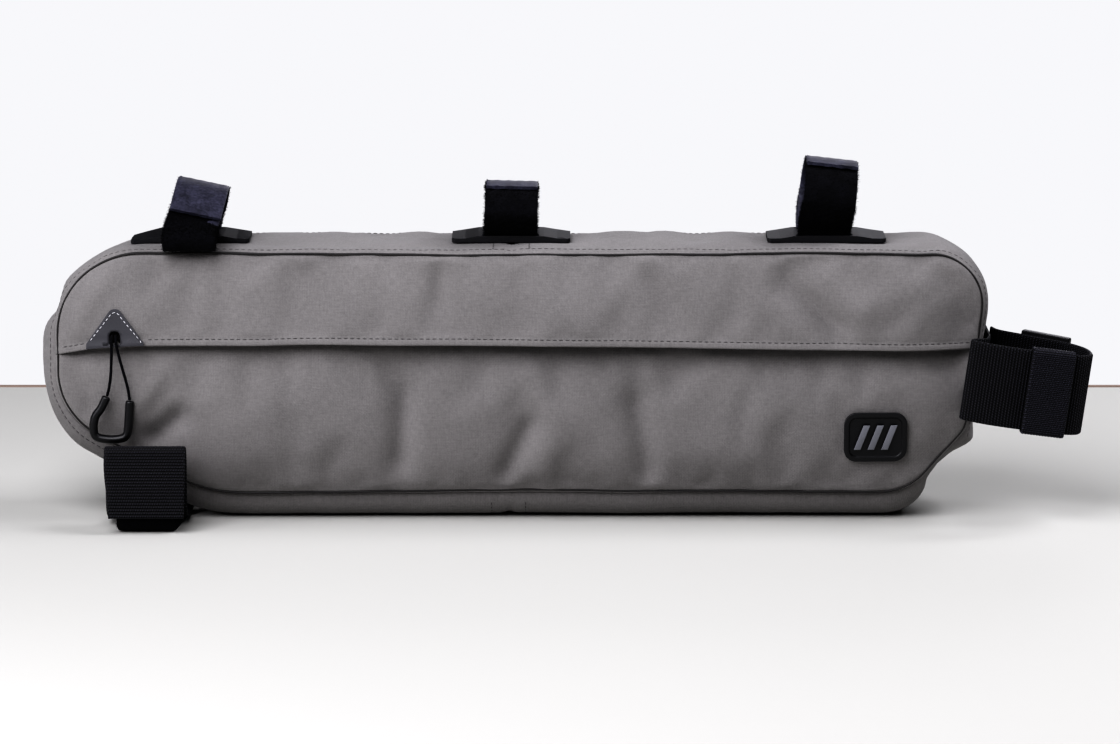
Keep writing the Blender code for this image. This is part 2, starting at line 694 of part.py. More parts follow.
GRIP_ROUTE = ((-0.19420, -0.03905, 0.0618), (-0.19700, -0.03890, 0.0560),
              (-0.19980, -0.03880, 0.0520), (-0.20070, -0.03880, 0.0465),
              (-0.19960, -0.03880, 0.0425), (-0.19500, -0.03880, 0.0412),
              (-0.18900, -0.03880, 0.0412), (-0.18520, -0.03880, 0.0428),
              (-0.18420, -0.03885, 0.0470), (-0.18380, -0.03890, 0.0530),
              (-0.18325, -0.03905, 0.0598))


def tube(name, route, diameter, per_span, resolution, finish):
    """A tube along a smooth curve through chosen points."""
    path = smooth_path([Vector(p) for p in route], per_span)
    curve = bpy.data.curves.new(name, "CURVE")
    curve.dimensions = "3D"
    curve.bevel_depth = diameter / 2
    curve.bevel_resolution = resolution
    curve.use_fill_caps = True
    spline = curve.splines.new("POLY")
    spline.points.add(len(path) - 1)
    for point, place in zip(spline.points, path):
        point.co = (*place, 1.0)
    curve.materials.append(material(*finish))
    made = bpy.data.objects.new(name, curve)
    bpy.context.scene.collection.objects.link(made)
    return made


def make_pull():
    """The two strands of the pull cord and the grip that holds their ends."""
    left, right = cord_routes()
    tube("pull_cord_left", left, CORD_DIAMETER, 2, 2, HOOK_LOOP)
    tube("pull_cord_right", right, CORD_DIAMETER, 2, 2, HOOK_LOOP)
    tube("pull_grip", GRIP_ROUTE, GRIP_DIAMETER, 2, 3, MOULDED)


def ribbon(name, path, width, thickness, finish):
    """A strap: a sheet swept along a path, with the given width vector, as a solid."""
    bm = bmesh.new()
    verts = [bm.verts.new(p - width / 2) for p in path]
    edges = [bm.edges.new(pair) for pair in zip(verts, verts[1:])]
    grown = bmesh.ops.extrude_edge_only(bm, edges=edges)["geom"]
    bmesh.ops.translate(bm, vec=width, verts=[v for v in grown if isinstance(v, bmesh.types.BMVert)])
    bm.normal_update()
    return thickened(add_object(name, bm, finish), thickness, 0)


def patch_polygon(x):
    """A top patch's outline: chamfered corners, the back ones larger."""
    half, deep = PATCH_LENGTH / 2, PATCH_DEPTH / 2
    front, back = PATCH_FRONT_CHAMFER, PATCH_BACK_CHAMFER
    corners = ((-half + front, -deep), (half - front, -deep), (half, -deep + front),
               (half, deep - back), (half - back, deep), (-half + back, deep),
               (-half, deep - back), (-half, -deep + front))
    return [Vector((x + a, b)) for a, b in corners]


def staple_cutter(name, x, base):
    """The space of a strap in its patch: two slots and the groove that joins them."""
    bm = bmesh.new()
    half_slot, half_width = SLOT_WIDTH / 2, LOOP_WIDTH / 2 + SLOT_SIDE_CLEARANCE
    reach = SLOT_SPACING / 2
    groove = GAP + LOOP_THICKNESS + GAP
    low, high = -SLOT_CUTTER_REACH, SLOT_CUTTER_REACH
    outline = ((-reach - half_slot, low), (reach + half_slot, low), (reach + half_slot, high),
               (reach - half_slot, high), (reach - half_slot, groove),
               (-reach + half_slot, groove), (-reach + half_slot, high),
               (-reach - half_slot, high))
    face = bm.faces.new([bm.verts.new((x - half_width, y, base + z)) for y, z in outline])
    grown = bmesh.ops.extrude_face_region(bm, geom=[face])["geom"]
    bmesh.ops.translate(bm, vec=(2 * half_width, 0, 0),
                        verts=[v for v in grown if isinstance(v, bmesh.types.BMVert)])
    bmesh.ops.recalc_face_normals(bm, faces=bm.faces[:])
    return hidden(add_object(name, bm, PATCHES))


def loop_path(r, loop_x, base):
    """A top strap's path in its own plane, with the run through the patch's slots."""
    front = [Vector((0, y * LOOP_DEPTH, h * r["height"])) for y, h in r["front"]]
    back = [Vector((0, y * LOOP_DEPTH, h * r["height"])) for y, h in r["back"]][:r["end_points"]]
    low = GAP + LOOP_THICKNESS / 2
    top = PATCH_THICKNESS + PATCH_BRIDGE
    reach = SLOT_SPACING / 2
    turn = LOOP_THICKNESS
    through = [Vector((0, -reach, top + turn / 2)), Vector((0, -reach + turn / 4, low + turn / 2)),
               Vector((0, -reach + turn, low)), Vector((0, reach - turn, low)),
               Vector((0, reach - turn / 4, low + turn / 2)), Vector((0, reach, top + turn / 2))]
    path = smooth_path(front + through[:3], 2)[:-1] + smooth_path(through[2:] + back, 2)
    lean = math.radians(r["lean"])
    leaned = []
    for p in path:
        share = smooth_step((p.z - top) / r["height"] * 2)
        shift = math.tan(lean) * max(p.z - top, 0) * share
        leaned.append((p + Vector((loop_x + shift, 0, base)), lean * share))
    return leaned


def make_top_straps(grounds):
    """The three patches and the straps threaded through them."""
    for values in TOP_STRAPS:
        r = row(TOP_COLUMNS, values)
        name, centre = r["name"], seam_point(r["place"], 1.0).x
        loop_x = centre + r["shift"] * PATCH_LENGTH
        ground = lambda a, b: ground_z(grounds, a, b)
        place = lambda a, b, height: Vector((a, b, ground(a, b) + height))
        swell = lambda a, b: PATCH_THICKNESS + PATCH_BRIDGE * smooth_step(
            (PATCH_LENGTH / 2 - abs(a - centre)) / (PATCH_LENGTH / 2 - LOOP_WIDTH / 2) * 1.4 - 0.4)
        patch = laid_solid("top_patch_" + name, patch_polygon(centre), PAD_STEP, place, SEAT,
                           swell, PATCHES)
        base = ground(loop_x, 0.0)
        cut(patch, staple_cutter("staple_cutter_" + name, loop_x, base))
        bm = bmesh.new()
        rows = []
        for p, tilt in loop_path(r, loop_x, base):
            side = Vector((math.cos(tilt), 0, -math.sin(tilt))) * LOOP_WIDTH / 2
            rows.append((bm.verts.new(p - side), bm.verts.new(p + side)))
        for near, far in zip(rows, rows[1:]):
            bm.faces.new((near[0], near[1], far[1], far[0]))
        thickened(add_object("top_loop_" + name, bm, HOOK_LOOP), LOOP_THICKNESS, 0)


def under_z(grounds, x, y):
    """The height of the gusset's underside over a place."""
    below = Vector((x, y, -1.0))
    hits = [tree.ray_cast(below, Vector((0, 0, 1)))[0] for tree in grounds]
    return min(hit.z for hit in hits if hit)


def make_left_strap(grounds):
    """The ribbed webbing that stands on the floor at the lower left, and the tab in it,
    whose root is sewn to the underside of the gusset."""
    scale = lambda path: [Vector((LEFT_STRAP_X, y * LEFT_STRAP_REACH, z * LEFT_STRAP_HEIGHT))
                          for y, z in path]
    width = Vector((WEBBING_WIDTH, 0, 0))
    ribbon("left_webbing_strap", smooth_path(scale(LEFT_WEBBING_PATH), 3), width,
           WEBBING_THICKNESS, WEBBING)
    skewed = [p + Vector((TAB_SKEW * (1 + p.y / LEFT_STRAP_REACH), 0, 0)) for p in scale(LEFT_TAB_PATH)]
    root = skewed[0]
    seats = [under_z(grounds, root.x + TAB_WIDTH * side, root.y) for side in (-0.5, 0.0, 0.5)]
    root.z = min(seats) - GAP - TAB_THICKNESS / 2
    ribbon("left_loop_tab", smooth_path(skewed, 3), Vector((TAB_WIDTH, 0, 0)), TAB_THICKNESS,
           HOOK_LOOP)


def bag_end_x(z):
    """Where the gusset's right end is at a height."""
    near = [p for p in FRONT_OUTLINE if p.x > 0]
    below = max((p for p in near if p.y <= z and p.x > 0.4 * SEAM_LENGTH), key=lambda p: p.y)
    above = min((p for p in near if p.y > z and p.x > 0.4 * SEAM_LENGTH), key=lambda p: p.y)
    return below.lerp(above, (z - below.y) / (above.y - below.y)).x + GUSSET_CROWN_RIGHT


def make_right_strap():
    """The webbing loop at the right end, its keeper and its buckle, drooping together."""
    root = Vector((bag_end_x(RIGHT_STRAP_Z), 0, RIGHT_STRAP_Z))
    turn = Matrix.Translation(root) @ Matrix.Rotation(RIGHT_STRAP_DROOP, 4, "Y")
    path = smooth_path([Vector((x * RIGHT_STRAP_LENGTH, y * RIGHT_STRAP_DEPTH, 0))
                        for x, y in RIGHT_PATH], 2)
    strap = ribbon("right_webbing_strap", path, Vector((0, 0, WEBBING_WIDTH)),
                   WEBBING_THICKNESS, WEBBING)
    strap.matrix_world = turn
    front = smooth_path([Vector((x * RIGHT_STRAP_LENGTH, y * RIGHT_STRAP_DEPTH, 0))
                         for x, y in RIGHT_PATH[7:9]], 2)
    middle = path[2 * 7 + 1]
    along = (front[-1] - front[0]).normalized()
    out = Vector((along.y, -along.x, 0))
    room = WEBBING_THICKNESS / 2 + KEEPER_ROOM / 2 + KEEPER_THICKNESS / 2
    half = WEBBING_WIDTH / 2 + GAP + KEEPER_THICKNESS / 2
    ring = []
    for k in range(16):
        angle = 2 * math.pi * k / 16
        c, s = math.cos(angle), math.sin(angle)
        deep = math.copysign(abs(c) ** 0.3, c) * room
        tall = math.copysign(abs(s) ** 0.12, s) * half
        ring.append(middle + out * deep + Vector((0, 0, tall)))
    bm = bmesh.new()
    verts = [bm.verts.new(p - along * KEEPER_WIDTH / 2) for p in ring]
    edges = [bm.edges.new((verts[k - 1], verts[k])) for k in range(len(verts))]
    grown = bmesh.ops.extrude_edge_only(bm, edges=edges)["geom"]
    bmesh.ops.translate(bm, vec=along * KEEPER_WIDTH,
                        verts=[v for v in grown if isinstance(v, bmesh.types.BMVert)])
    keeper = thickened(add_object("strap_keeper", bm, WEBBING), KEEPER_THICKNESS, 0)
    keeper.matrix_world = turn
    back = path[2 * 12:2 * 13 + 1]
    make_buckle(back, turn)


def make_buckle(back, turn):
    """A slide buckle with two slots, behind the loop's back run."""
    bm = bmesh.new()
    half_x, half_z = BUCKLE_LENGTH / 2, BUCKLE_HEIGHT / 2
    slot = (BUCKLE_LENGTH - 3 * BUCKLE_BAR) / 2
    xs = (-half_x, -half_x + BUCKLE_BAR, -BUCKLE_BAR / 2, BUCKLE_BAR / 2, half_x - BUCKLE_BAR, half_x)
    zs = (-half_z, -half_z + BUCKLE_RAIL, half_z - BUCKLE_RAIL, half_z)
    verts = {(i, j): bm.verts.new((x, 0, z)) for i, x in enumerate(xs) for j, z in enumerate(zs)}
    for i in range(len(xs) - 1):
        for j in range(len(zs) - 1):
            if j == 1 and i in (1, 3):
                continue
            bm.faces.new((verts[i, j], verts[i + 1, j], verts[i + 1, j + 1], verts[i, j + 1]))
    buckle = thickened(add_object("strap_buckle", bm, MOULDED), BUCKLE_THICKNESS, 0)
    along = (back[0] - back[-1]).normalized()
    out = Vector((-along.y, along.x, 0))
    sag = max((p - back[1]).dot(out) for p in back)
    centre = back[1] + out * (sag + WEBBING_THICKNESS / 2 + GAP + BUCKLE_THICKNESS / 2)
    angle = math.atan2(along.y, along.x)
    buckle.matrix_world = turn @ Matrix.Translation(centre) @ Matrix.Rotation(angle, 4, "Z")


def rounded_rectangle(x, z, width, height, corner, steps):
    """A rectangle with round corners, as a polygon."""
    points = []
    for sx, sz, first in ((1, 1, 0), (-1, 1, 90), (-1, -1, 180), (1, -1, 270)):
        for k in range(steps + 1):
            turn = math.radians(first + 90 * k / steps)
            points.append(Vector((x + sx * (width / 2 - corner) + corner * math.cos(turn),
                                  z + sz * (height / 2 - corner) + corner * math.sin(turn))))
    return points


def make_badge(lower):
    """A plain rubber badge with a raised rim and three slanted bars."""
    place = on_front_of(tree_of(lower))
    inner_x, inner_z = BADGE_WIDTH / 2 - BADGE_RIM, BADGE_HEIGHT / 2 - BADGE_RIM
    in_dish = lambda a, b: abs(a - BADGE_X) < inner_x and abs(b - BADGE_Z) < inner_z
    outline = rounded_rectangle(BADGE_X, BADGE_Z, BADGE_WIDTH, BADGE_HEIGHT, BADGE_CORNER, 3)
    laid_solid("badge_plate", outline, BADGE_RIM * 1.05, place, SEAT,
               lambda a, b: BADGE_DISH if in_dish(a, b) else BADGE_THICKNESS, BADGE)
    for k in range(3):
        x = BADGE_X + (k - 1) * BADGE_BAR_PITCH
        w, h, s = BADGE_BAR_WIDTH / 2, BADGE_BAR_HEIGHT / 2, BADGE_BAR_SLANT / 2
        corners = [Vector((x - w - s, BADGE_Z - h)), Vector((x + w - s, BADGE_Z - h)),
                   Vector((x + w + s, BADGE_Z + h)), Vector((x - w + s, BADGE_Z + h))]
        laid_solid(f"badge_bar_{k + 1}", corners, BADGE_RIM, place, SEAT + BADGE_DISH + GAP,
                   lambda a, b: BADGE_BAR_THICKNESS, BADGE_GREY)


def main():
    for old in list(bpy.data.objects):
        bpy.data.objects.remove(old, do_unlink=True)
    upper, lower = make_panels()
    grounds = make_gusset()
    make_zip()
    make_garage(upper)
    make_pull()
    make_top_straps(grounds)
    make_left_strap(grounds)
    make_right_strap()
    make_badge(lower)


main()
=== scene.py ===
"""A bicycle frame bag, dressed on its frame: a soft bag of coated canvas with a storm
flap over its zip, three hook-and-loop straps on top and a ribbed strap at each end.

Lengths are metres, Z is up and the front faces -Y.
"""

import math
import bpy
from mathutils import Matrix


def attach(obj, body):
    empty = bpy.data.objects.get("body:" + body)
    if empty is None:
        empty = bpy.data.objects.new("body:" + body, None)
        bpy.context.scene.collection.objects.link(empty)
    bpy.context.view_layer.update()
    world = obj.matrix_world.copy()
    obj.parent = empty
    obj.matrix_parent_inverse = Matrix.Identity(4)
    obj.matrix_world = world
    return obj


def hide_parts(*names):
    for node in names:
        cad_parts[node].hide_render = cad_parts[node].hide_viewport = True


bl_info = {
    "name": "Bicycle frame bag",
    "version": (1, 0, 0),
    "blender": (4, 5, 0),
    "location": "View3D > Sidebar > Frame bag",
    "description": "Makes the bag's cloth, straps, stitching, fittings and studio",
    "category": "Object",
}

import bmesh
import bpy
import numpy as np
from mathutils import Matrix, Vector, noise
from mathutils.bvhtree import BVHTree

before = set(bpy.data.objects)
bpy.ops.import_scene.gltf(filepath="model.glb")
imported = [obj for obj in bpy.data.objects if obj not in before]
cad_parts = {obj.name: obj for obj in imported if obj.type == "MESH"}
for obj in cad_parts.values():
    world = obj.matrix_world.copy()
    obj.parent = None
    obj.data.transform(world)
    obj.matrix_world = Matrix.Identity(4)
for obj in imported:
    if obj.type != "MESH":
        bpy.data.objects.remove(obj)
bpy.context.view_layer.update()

# Body of the bag, as its solids have it
SEAM_LENGTH = 0.4455
SEAM_HEIGHT = 0.116
SEAM_LEFT = 0.00325 - SEAM_LENGTH / 2
SEAM_RIGHT = SEAM_LEFT + SEAM_LENGTH
DEPTH = 0.060
WALL = 0.0015
GAP = 0.0003
FRONT_BULGE = 0.008
BACK_BULGE = 0.006
BULGE_REACH = 0.045
GUSSET_CROWN = {"top": 0.002, "bottom": 0.0135, "left": 0.0063, "right": 0.002}
FOLD_DEPTH = 0.004
FLAP_OVERLAP = 0.0025
FLAP_LIFT = 0.0010
FLAP_LIFT_REACH = 0.015
FLAP_SLACK = 0.0008
FLAP_FILLING = 0.0030
SEAT = 0.0005
ZIP_SLACK = 0.0014
ZIP_STRAIGHT = 0.0100
ZIP_TAPE_ABOVE = 0.0160
ZIP_END_MARGIN = 0.0140
RECESS_REACH = 0.030
END_TAPER = 0.012
GARAGE_X = SEAM_LEFT + 0.0295
GARAGE_WIDTH = 0.0275
GARAGE_HEIGHT = 0.0180
KEYHOLE_WIDTH = 0.0052
KEYHOLE_HEIGHT = 0.0062
KEYHOLE_RISE = 0.0018
CORD_DIAMETER = 0.0013
GRIP_DIAMETER = 0.0044
PATCH_LENGTH = 0.0565
PATCH_DEPTH = 0.030
PATCH_THICKNESS = 0.0020
PATCH_BRIDGE = 0.0014
LOOP_WIDTH = 0.025
LOOP_THICKNESS = 0.0016
LOOP_DEPTH = 0.043
SLOT_SPACING = 0.0236
WEBBING_WIDTH = 0.0386
WEBBING_THICKNESS = 0.0018
LEFT_STRAP_X = SEAM_LEFT + 0.0440
LEFT_STRAP_HEIGHT = 0.0395
LEFT_STRAP_REACH = 0.0635
TAB_WIDTH = 0.027
TAB_THICKNESS = 0.0015
TAB_SKEW = 0.007
RIGHT_STRAP_Z = GUSSET_CROWN["bottom"] + 0.0565
RIGHT_STRAP_LENGTH = 0.050
RIGHT_STRAP_DEPTH = 0.0505
RIGHT_STRAP_DROOP = math.radians(8.0)
KEEPER_WIDTH = 0.0205
KEEPER_THICKNESS = 0.0012
KEEPER_ROOM = 0.0026
BADGE_X = SEAM_RIGHT - 0.0551
BADGE_Z = GUSSET_CROWN["bottom"] + 0.0285
BADGE_WIDTH = 0.030
BADGE_HEIGHT = 0.024
BADGE_CORNER = 0.006
BADGE_THICKNESS = 0.0020
BADGE_DISH = 0.0012
BADGE_RIM = 0.0022
BADGE_SINK = 0.0005
BADGE_BAR_SPACING = 0.0065
BADGE_BAR_WIDTH = 0.0032
BADGE_BAR_LEAN = 0.0045
BADGE_BAR_HEIGHT = 0.012
BADGE_BAR_THICKNESS = 0.0008
ZIP_TAPE_THICKNESS = 0.0010

# How the cloth settles: how much too large it is cut, what fills it and how far it may move
PANEL_GROWTH, PANEL_FILLING, PANEL_LIMIT = 0.012, 1.5, 0.0035
GUSSET_GROWTH, GUSSET_FILLING, GUSSET_LIMIT = 0.018, 1.0, 0.0030
SETTLING_STEPS = 20

# Seams, stitch rows and pile; the dark seam strip is painted shade for the seams' shadow
STITCH_THICKNESS = 0.00042
FLAP_STITCH_ROW = 0.0031
GUSSET_STITCH_ROW = 0.0023
SEAM_SHADOW_WIDTH = 0.0030
SEAM_SHADOW_THICKNESS = 0.0010
SEAM_SHADOW_INSET = 0.0014
KEEPER_YARN_PITCH = 0.0009
PILE_FIBRES, EDGE_FIBRES, TAB_FIBRES = 5200, 500, 2500
TAB_PILE_ABOVE = 0.0018

# The view and the studio
CAMERA_TARGET = (0.0209, -0.036, 0.0731)
CAMERA_RISE = math.radians(10.0)
SENSOR_WIDTH = 36.0
VIEW_WIDTH = 0.5317
# Boards: name, middle and size
BOARDS = (
    ("studio_floor", (0, -1.668, -0.0012), (6.0, 4.0, 0.0020)),
    ("floor_edge", (0, 0.3335, -0.0008), (6.0, 0.003, 0.0028)),
)
# Lights: name, place, target, size and power
LIGHTS = (
    ("key_softbox", (-0.50, -0.92, 1.05), (0.0, 0.0, 0.05), 1.1, 21.5),
    ("back_softbox", (0.30, 1.50, 0.65), (0.0, 0.0, 0.08), 0.8, 2.6),
    ("side_softbox", (-1.30, -0.50, 0.50), (-0.10, 0.0, 0.08), 0.6, 5.0),
    ("floor_softbox", (0.95, 0.00, 1.10), (0.60, -0.05, 0.0), 0.8, 12.0),
)

# Fineness of the cloth: outline pieces per piece of the solid's outline, the size of a
# cell, and the narrow rings that turn in at a seam
FINE = 4
CELL = 0.0021
EDGE_RINGS = (0.0006, 0.0007, 0.0009, 0.0009, 0.0009, 0.0012)

CORNER_COLUMNS = ("name", "x", "z", "front_r", "back_r", "steps", "run")
CORNERS = (
    ("bottom_seam", 0.484, 0.0, 0.0, 0.0, 0, 11),
    ("bottom_right", 0.915, 0.0, 0.22, 0.22, 4, 2),
    ("right_low", 0.976, 0.27, 0.12, 0.12, 3, 5),
    ("top_right", 1.0, 1.0, 0.21, 0.24, 6, 12),
    ("top_seam", 0.488, 1.0, 0.0, 0.0, 0, 10),
    ("top_left", 0.0, 1.0, 0.345, 0.47, 7, 2),
    ("left_low", 0.0, 0.332, 0.30, 0.30, 4, 4),
    ("bottom_left", 0.156, 0.0, 0.52, 0.52, 4, 8),
)
FLAP_EDGE = ((0.0, 0.576), (0.04, 0.610), (0.09, 0.625), (0.30, 0.634), (0.55, 0.628), (1.0, 0.602))

# Folds: a line from one point to another in shares of the seam's length and height, its
# width as a share of the height and its depth outward as a share of the fold depth
FOLD_COLUMNS = ("name", "x0", "z0", "x1", "z1", "width", "depth")
UPPER_FOLDS = (
    ("diagonal_dent", 0.780, 0.873, 0.834, 0.699, 0.08, -0.9),
    ("fan_ridge_left", 0.822, 0.881, 0.856, 0.760, 0.07, 0.5),
    ("fan_ridge_right", 0.856, 0.760, 0.925, 0.873, 0.07, 0.5),
    ("corner_dent", 0.955, 0.860, 0.975, 0.720, 0.08, -0.5),
    ("dent_below_middle_strap", 0.410, 0.960, 0.412, 0.815, 0.09, -0.6),
    ("soft_swell", 0.532, 0.732, 0.560, 0.760, 0.12, 0.4),
    ("right_of_middle", 0.635, 0.894, 0.660, 0.769, 0.08, -0.5),
    ("broad_hollow", 0.269, 0.950, 0.269, 0.700, 0.14, -0.6),
    ("left_end_ridge", 0.050, 0.900, 0.020, 0.700, 0.06, 0.7),
)
LOWER_FOLDS = (
    ("crease_left", 0.372, 0.438, 0.370, 0.143, 0.06, -0.8),
    ("crease_middle", 0.508, 0.284, 0.481, 0.093, 0.05, -0.6),
    ("crease_right_of_middle", 0.535, 0.334, 0.523, 0.100, 0.06, 0.5),
    ("crease_right", 0.621, 0.380, 0.633, 0.093, 0.07, -0.6),
    ("hollow_under_grip", 0.106, 0.243, 0.134, 0.317, 0.06, -0.7),
    ("ridge_by_grip", 0.094, 0.372, 0.121, 0.480, 0.06, 0.5),
    ("badge_dent", 0.905, 0.080, 0.935, 0.120, 0.06, -0.4),
    ("long_sag", 0.200, 0.180, 0.800, 0.160, 0.16, 0.5),
)
BACK_FOLDS = (
    ("back_left_crease", 0.220, 0.700, 0.260, 0.250, 0.10, -0.5),
    ("back_middle_swell", 0.500, 0.450, 0.560, 0.420, 0.22, 0.5),
    ("back_right_crease", 0.760, 0.680, 0.720, 0.300, 0.10, -0.5),
)
# Sharper creases that only the finished cloth has, over the folds above
UPPER_CREASES = (
    ("diagonal_line", 0.784, 0.860, 0.832, 0.705, 0.035, -0.35),
    ("line_below_middle_strap", 0.410, 0.940, 0.412, 0.830, 0.040, -0.35),
    ("right_of_middle_line", 0.638, 0.885, 0.658, 0.775, 0.035, -0.30),
)
LOWER_CREASES = (
    ("valley_by_grip", 0.101, 0.354, 0.124, 0.457, 0.036, -0.60),
    ("hollow_line_under_grip", 0.108, 0.240, 0.132, 0.325, 0.036, -0.70),
    ("valley_left_of_cord", 0.033, 0.449, 0.038, 0.340, 0.036, -0.70),
    ("pleat_at_left_seam", 0.010, 0.570, 0.022, 0.483, 0.034, -0.60),
    ("crease_left_line", 0.374, 0.430, 0.369, 0.150, 0.036, -0.45),
    ("crease_middle_line", 0.506, 0.284, 0.482, 0.100, 0.036, -0.45),
    ("crease_right_line", 0.621, 0.380, 0.633, 0.100, 0.038, -0.40),
    ("crease_near_flap", 0.300, 0.560, 0.330, 0.500, 0.036, -0.40),
)
GUSSET_FOLDS = (
    ("left_pleat", -0.004, 0.790, 0.010, 0.740, 0.055, -1.3),
    ("left_top_slump", 0.020, 0.930, 0.035, 0.970, 0.070, -0.7),
    ("low_right_pucker", 0.930, 0.080, 0.955, 0.170, 0.060, -0.9),
    ("low_right_ridge", 0.965, 0.210, 0.970, 0.240, 0.035, 0.4),
)

# Strap paths, as the solids have them: shares of each strap's own sizes
UPRIGHT_FRONT = ((0.16, 0.895), (0.0, 0.925), (-0.19, 0.895), (-0.38, 0.77), (-0.485, 0.55),
                 (-0.43, 0.33), (-0.32, 0.19))
UPRIGHT_BACK = ((0.32, 0.19), (0.43, 0.33), (0.495, 0.56), (0.42, 0.80), (0.20, 0.965),
                (0.0, 0.995), (-0.21, 0.965), (-0.36, 0.875))
SLUMPED_FRONT = ((0.10, 0.890), (-0.08, 0.895), (-0.30, 0.82), (-0.62, 0.56), (-0.90, 0.25),
                 (-0.905, 0.06), (-0.78, 0.01), (-0.60, 0.14), (-0.40, 0.255))
SLUMPED_BACK = ((0.34, 0.24), (0.40, 0.42), (0.36, 0.70), (0.20, 0.94), (-0.02, 1.0),
                (-0.24, 0.965), (-0.50, 0.80), (-0.70, 0.60))
TOP_COLUMNS = ("name", "place", "shift", "height", "lean", "front", "back", "end_points")
TOP_STRAPS = (
    ("left", 0.1437, 0.018, 0.0270, 12.0, SLUMPED_FRONT, SLUMPED_BACK, 8),
    ("middle", 0.4873, -0.005, 0.0270, 1.5, UPRIGHT_FRONT, UPRIGHT_BACK, 7),
    ("right", 0.8251, -0.019, 0.0380, 6.5, UPRIGHT_FRONT, UPRIGHT_BACK, 7),
)
LEFT_WEBBING_PATH = ((-0.33, 0.070), (-0.46, 0.073), (-0.60, 0.115), (-0.70, 0.25),
                     (-0.717, 0.55), (-0.72, 0.83), (-0.756, 0.965), (-0.825, 0.965),
                     (-0.90, 0.75), (-0.965, 0.40), (-0.992, 0.19))
LEFT_TAB_PATH = ((-0.08, 0.020), (-0.22, 0.026), (-0.34, 0.020), (-0.50, 0.020), (-0.82, 0.020),
                 (-0.915, 0.062), (-0.950, 0.20), (-0.930, 0.38), (-0.880, 0.60))
RIGHT_PATH = ((0.045, 0.16), (0.045, -0.16), (0.045, -0.42), (0.0, -0.68), (-0.13, -0.81),
              (-0.12, -0.905), (0.10, -0.985), (0.42, -1.0), (0.80, -0.96), (0.97, -0.84),
              (1.0, -0.61), (0.94, -0.40), (0.76, -0.24), (0.44, -0.14), (0.17, -0.055),
              (0.105, 0.08))

# Chosen points of the pull cord's two strands and of the grip
CORD_ROUTES = {
    "left": ((-0.19140, -0.03560, 0.0908), (-0.19140, -0.03900, 0.0908),
             (-0.19140, -0.04110, 0.0895), (-0.19140, -0.04200, 0.0866),
             (-0.19150, -0.04190, 0.0810), (-0.19200, -0.04110, 0.0725),
             (-0.19290, -0.04010, 0.0665), (-0.19400, -0.03930, 0.0622)),
    "right": ((-0.18960, -0.03560, 0.0908), (-0.18960, -0.03900, 0.0908),
              (-0.18940, -0.04110, 0.0895), (-0.18900, -0.04200, 0.0866),
              (-0.18780, -0.04190, 0.0810), (-0.18560, -0.04110, 0.0725),
              (-0.18420, -0.04010, 0.0665), (-0.18330, -0.03930, 0.0602)),
}
GRIP_ROUTE = ((-0.19420, -0.03905, 0.0618), (-0.19700, -0.03890, 0.0560),
              (-0.19980, -0.03880, 0.0520), (-0.20070, -0.03880, 0.0465),
              (-0.19960, -0.03880, 0.0425), (-0.19500, -0.03880, 0.0412),
              (-0.18900, -0.03880, 0.0412), (-0.18520, -0.03880, 0.0428),
              (-0.18420, -0.03885, 0.0470), (-0.18380, -0.03890, 0.0530),
              (-0.18325, -0.03905, 0.0598))


def linear(hex_colour):
    """An sRGB hex colour as linear red, green, blue and full alpha."""
    parts = [int(hex_colour[k:k + 2], 16) / 255 for k in (0, 2, 4)]
    return [c / 12.92 if c <= 0.04045 else ((c + 0.055) / 1.055) ** 2.4 for c in parts] + [1.0]


def length_property(name, description, default):
    """A length that a user can set."""
    return bpy.props.FloatProperty(name=name, description=description, default=default,
                                   min=0.0, unit="LENGTH", precision=5)


def colour_property(name, description, hex_colour):
    """A colour that a user can set."""
    return bpy.props.FloatVectorProperty(name=name, description=description, subtype="COLOR",
                                         size=4, min=0.0, max=1.0, default=linear(hex_colour))


class FrameBagSizes(bpy.types.PropertyGroup):
    """Sizes of the cloth's detail and of the view."""

    thread_pitch: length_property("Thread pitch", "Spacing of the canvas's threads as drawn",
                                  0.0008)
    stitch_pitch: length_property("Stitch pitch", "Spacing of the stitches", 0.0030)
    stitch_length: length_property("Stitch length", "Length of one stitch", 0.0021)
    rib_pitch: length_property("Rib pitch", "Spacing of the webbing's ribs", 0.00145)
    rib_height: length_property("Rib height", "Height of the webbing's ribs", 0.00040)
    fuzz_length: length_property("Fuzz length", "Length of the loop tape's fibres", 0.0013)
    camera_distance: length_property("Camera distance", "From the camera to the bag's front", 2.60)


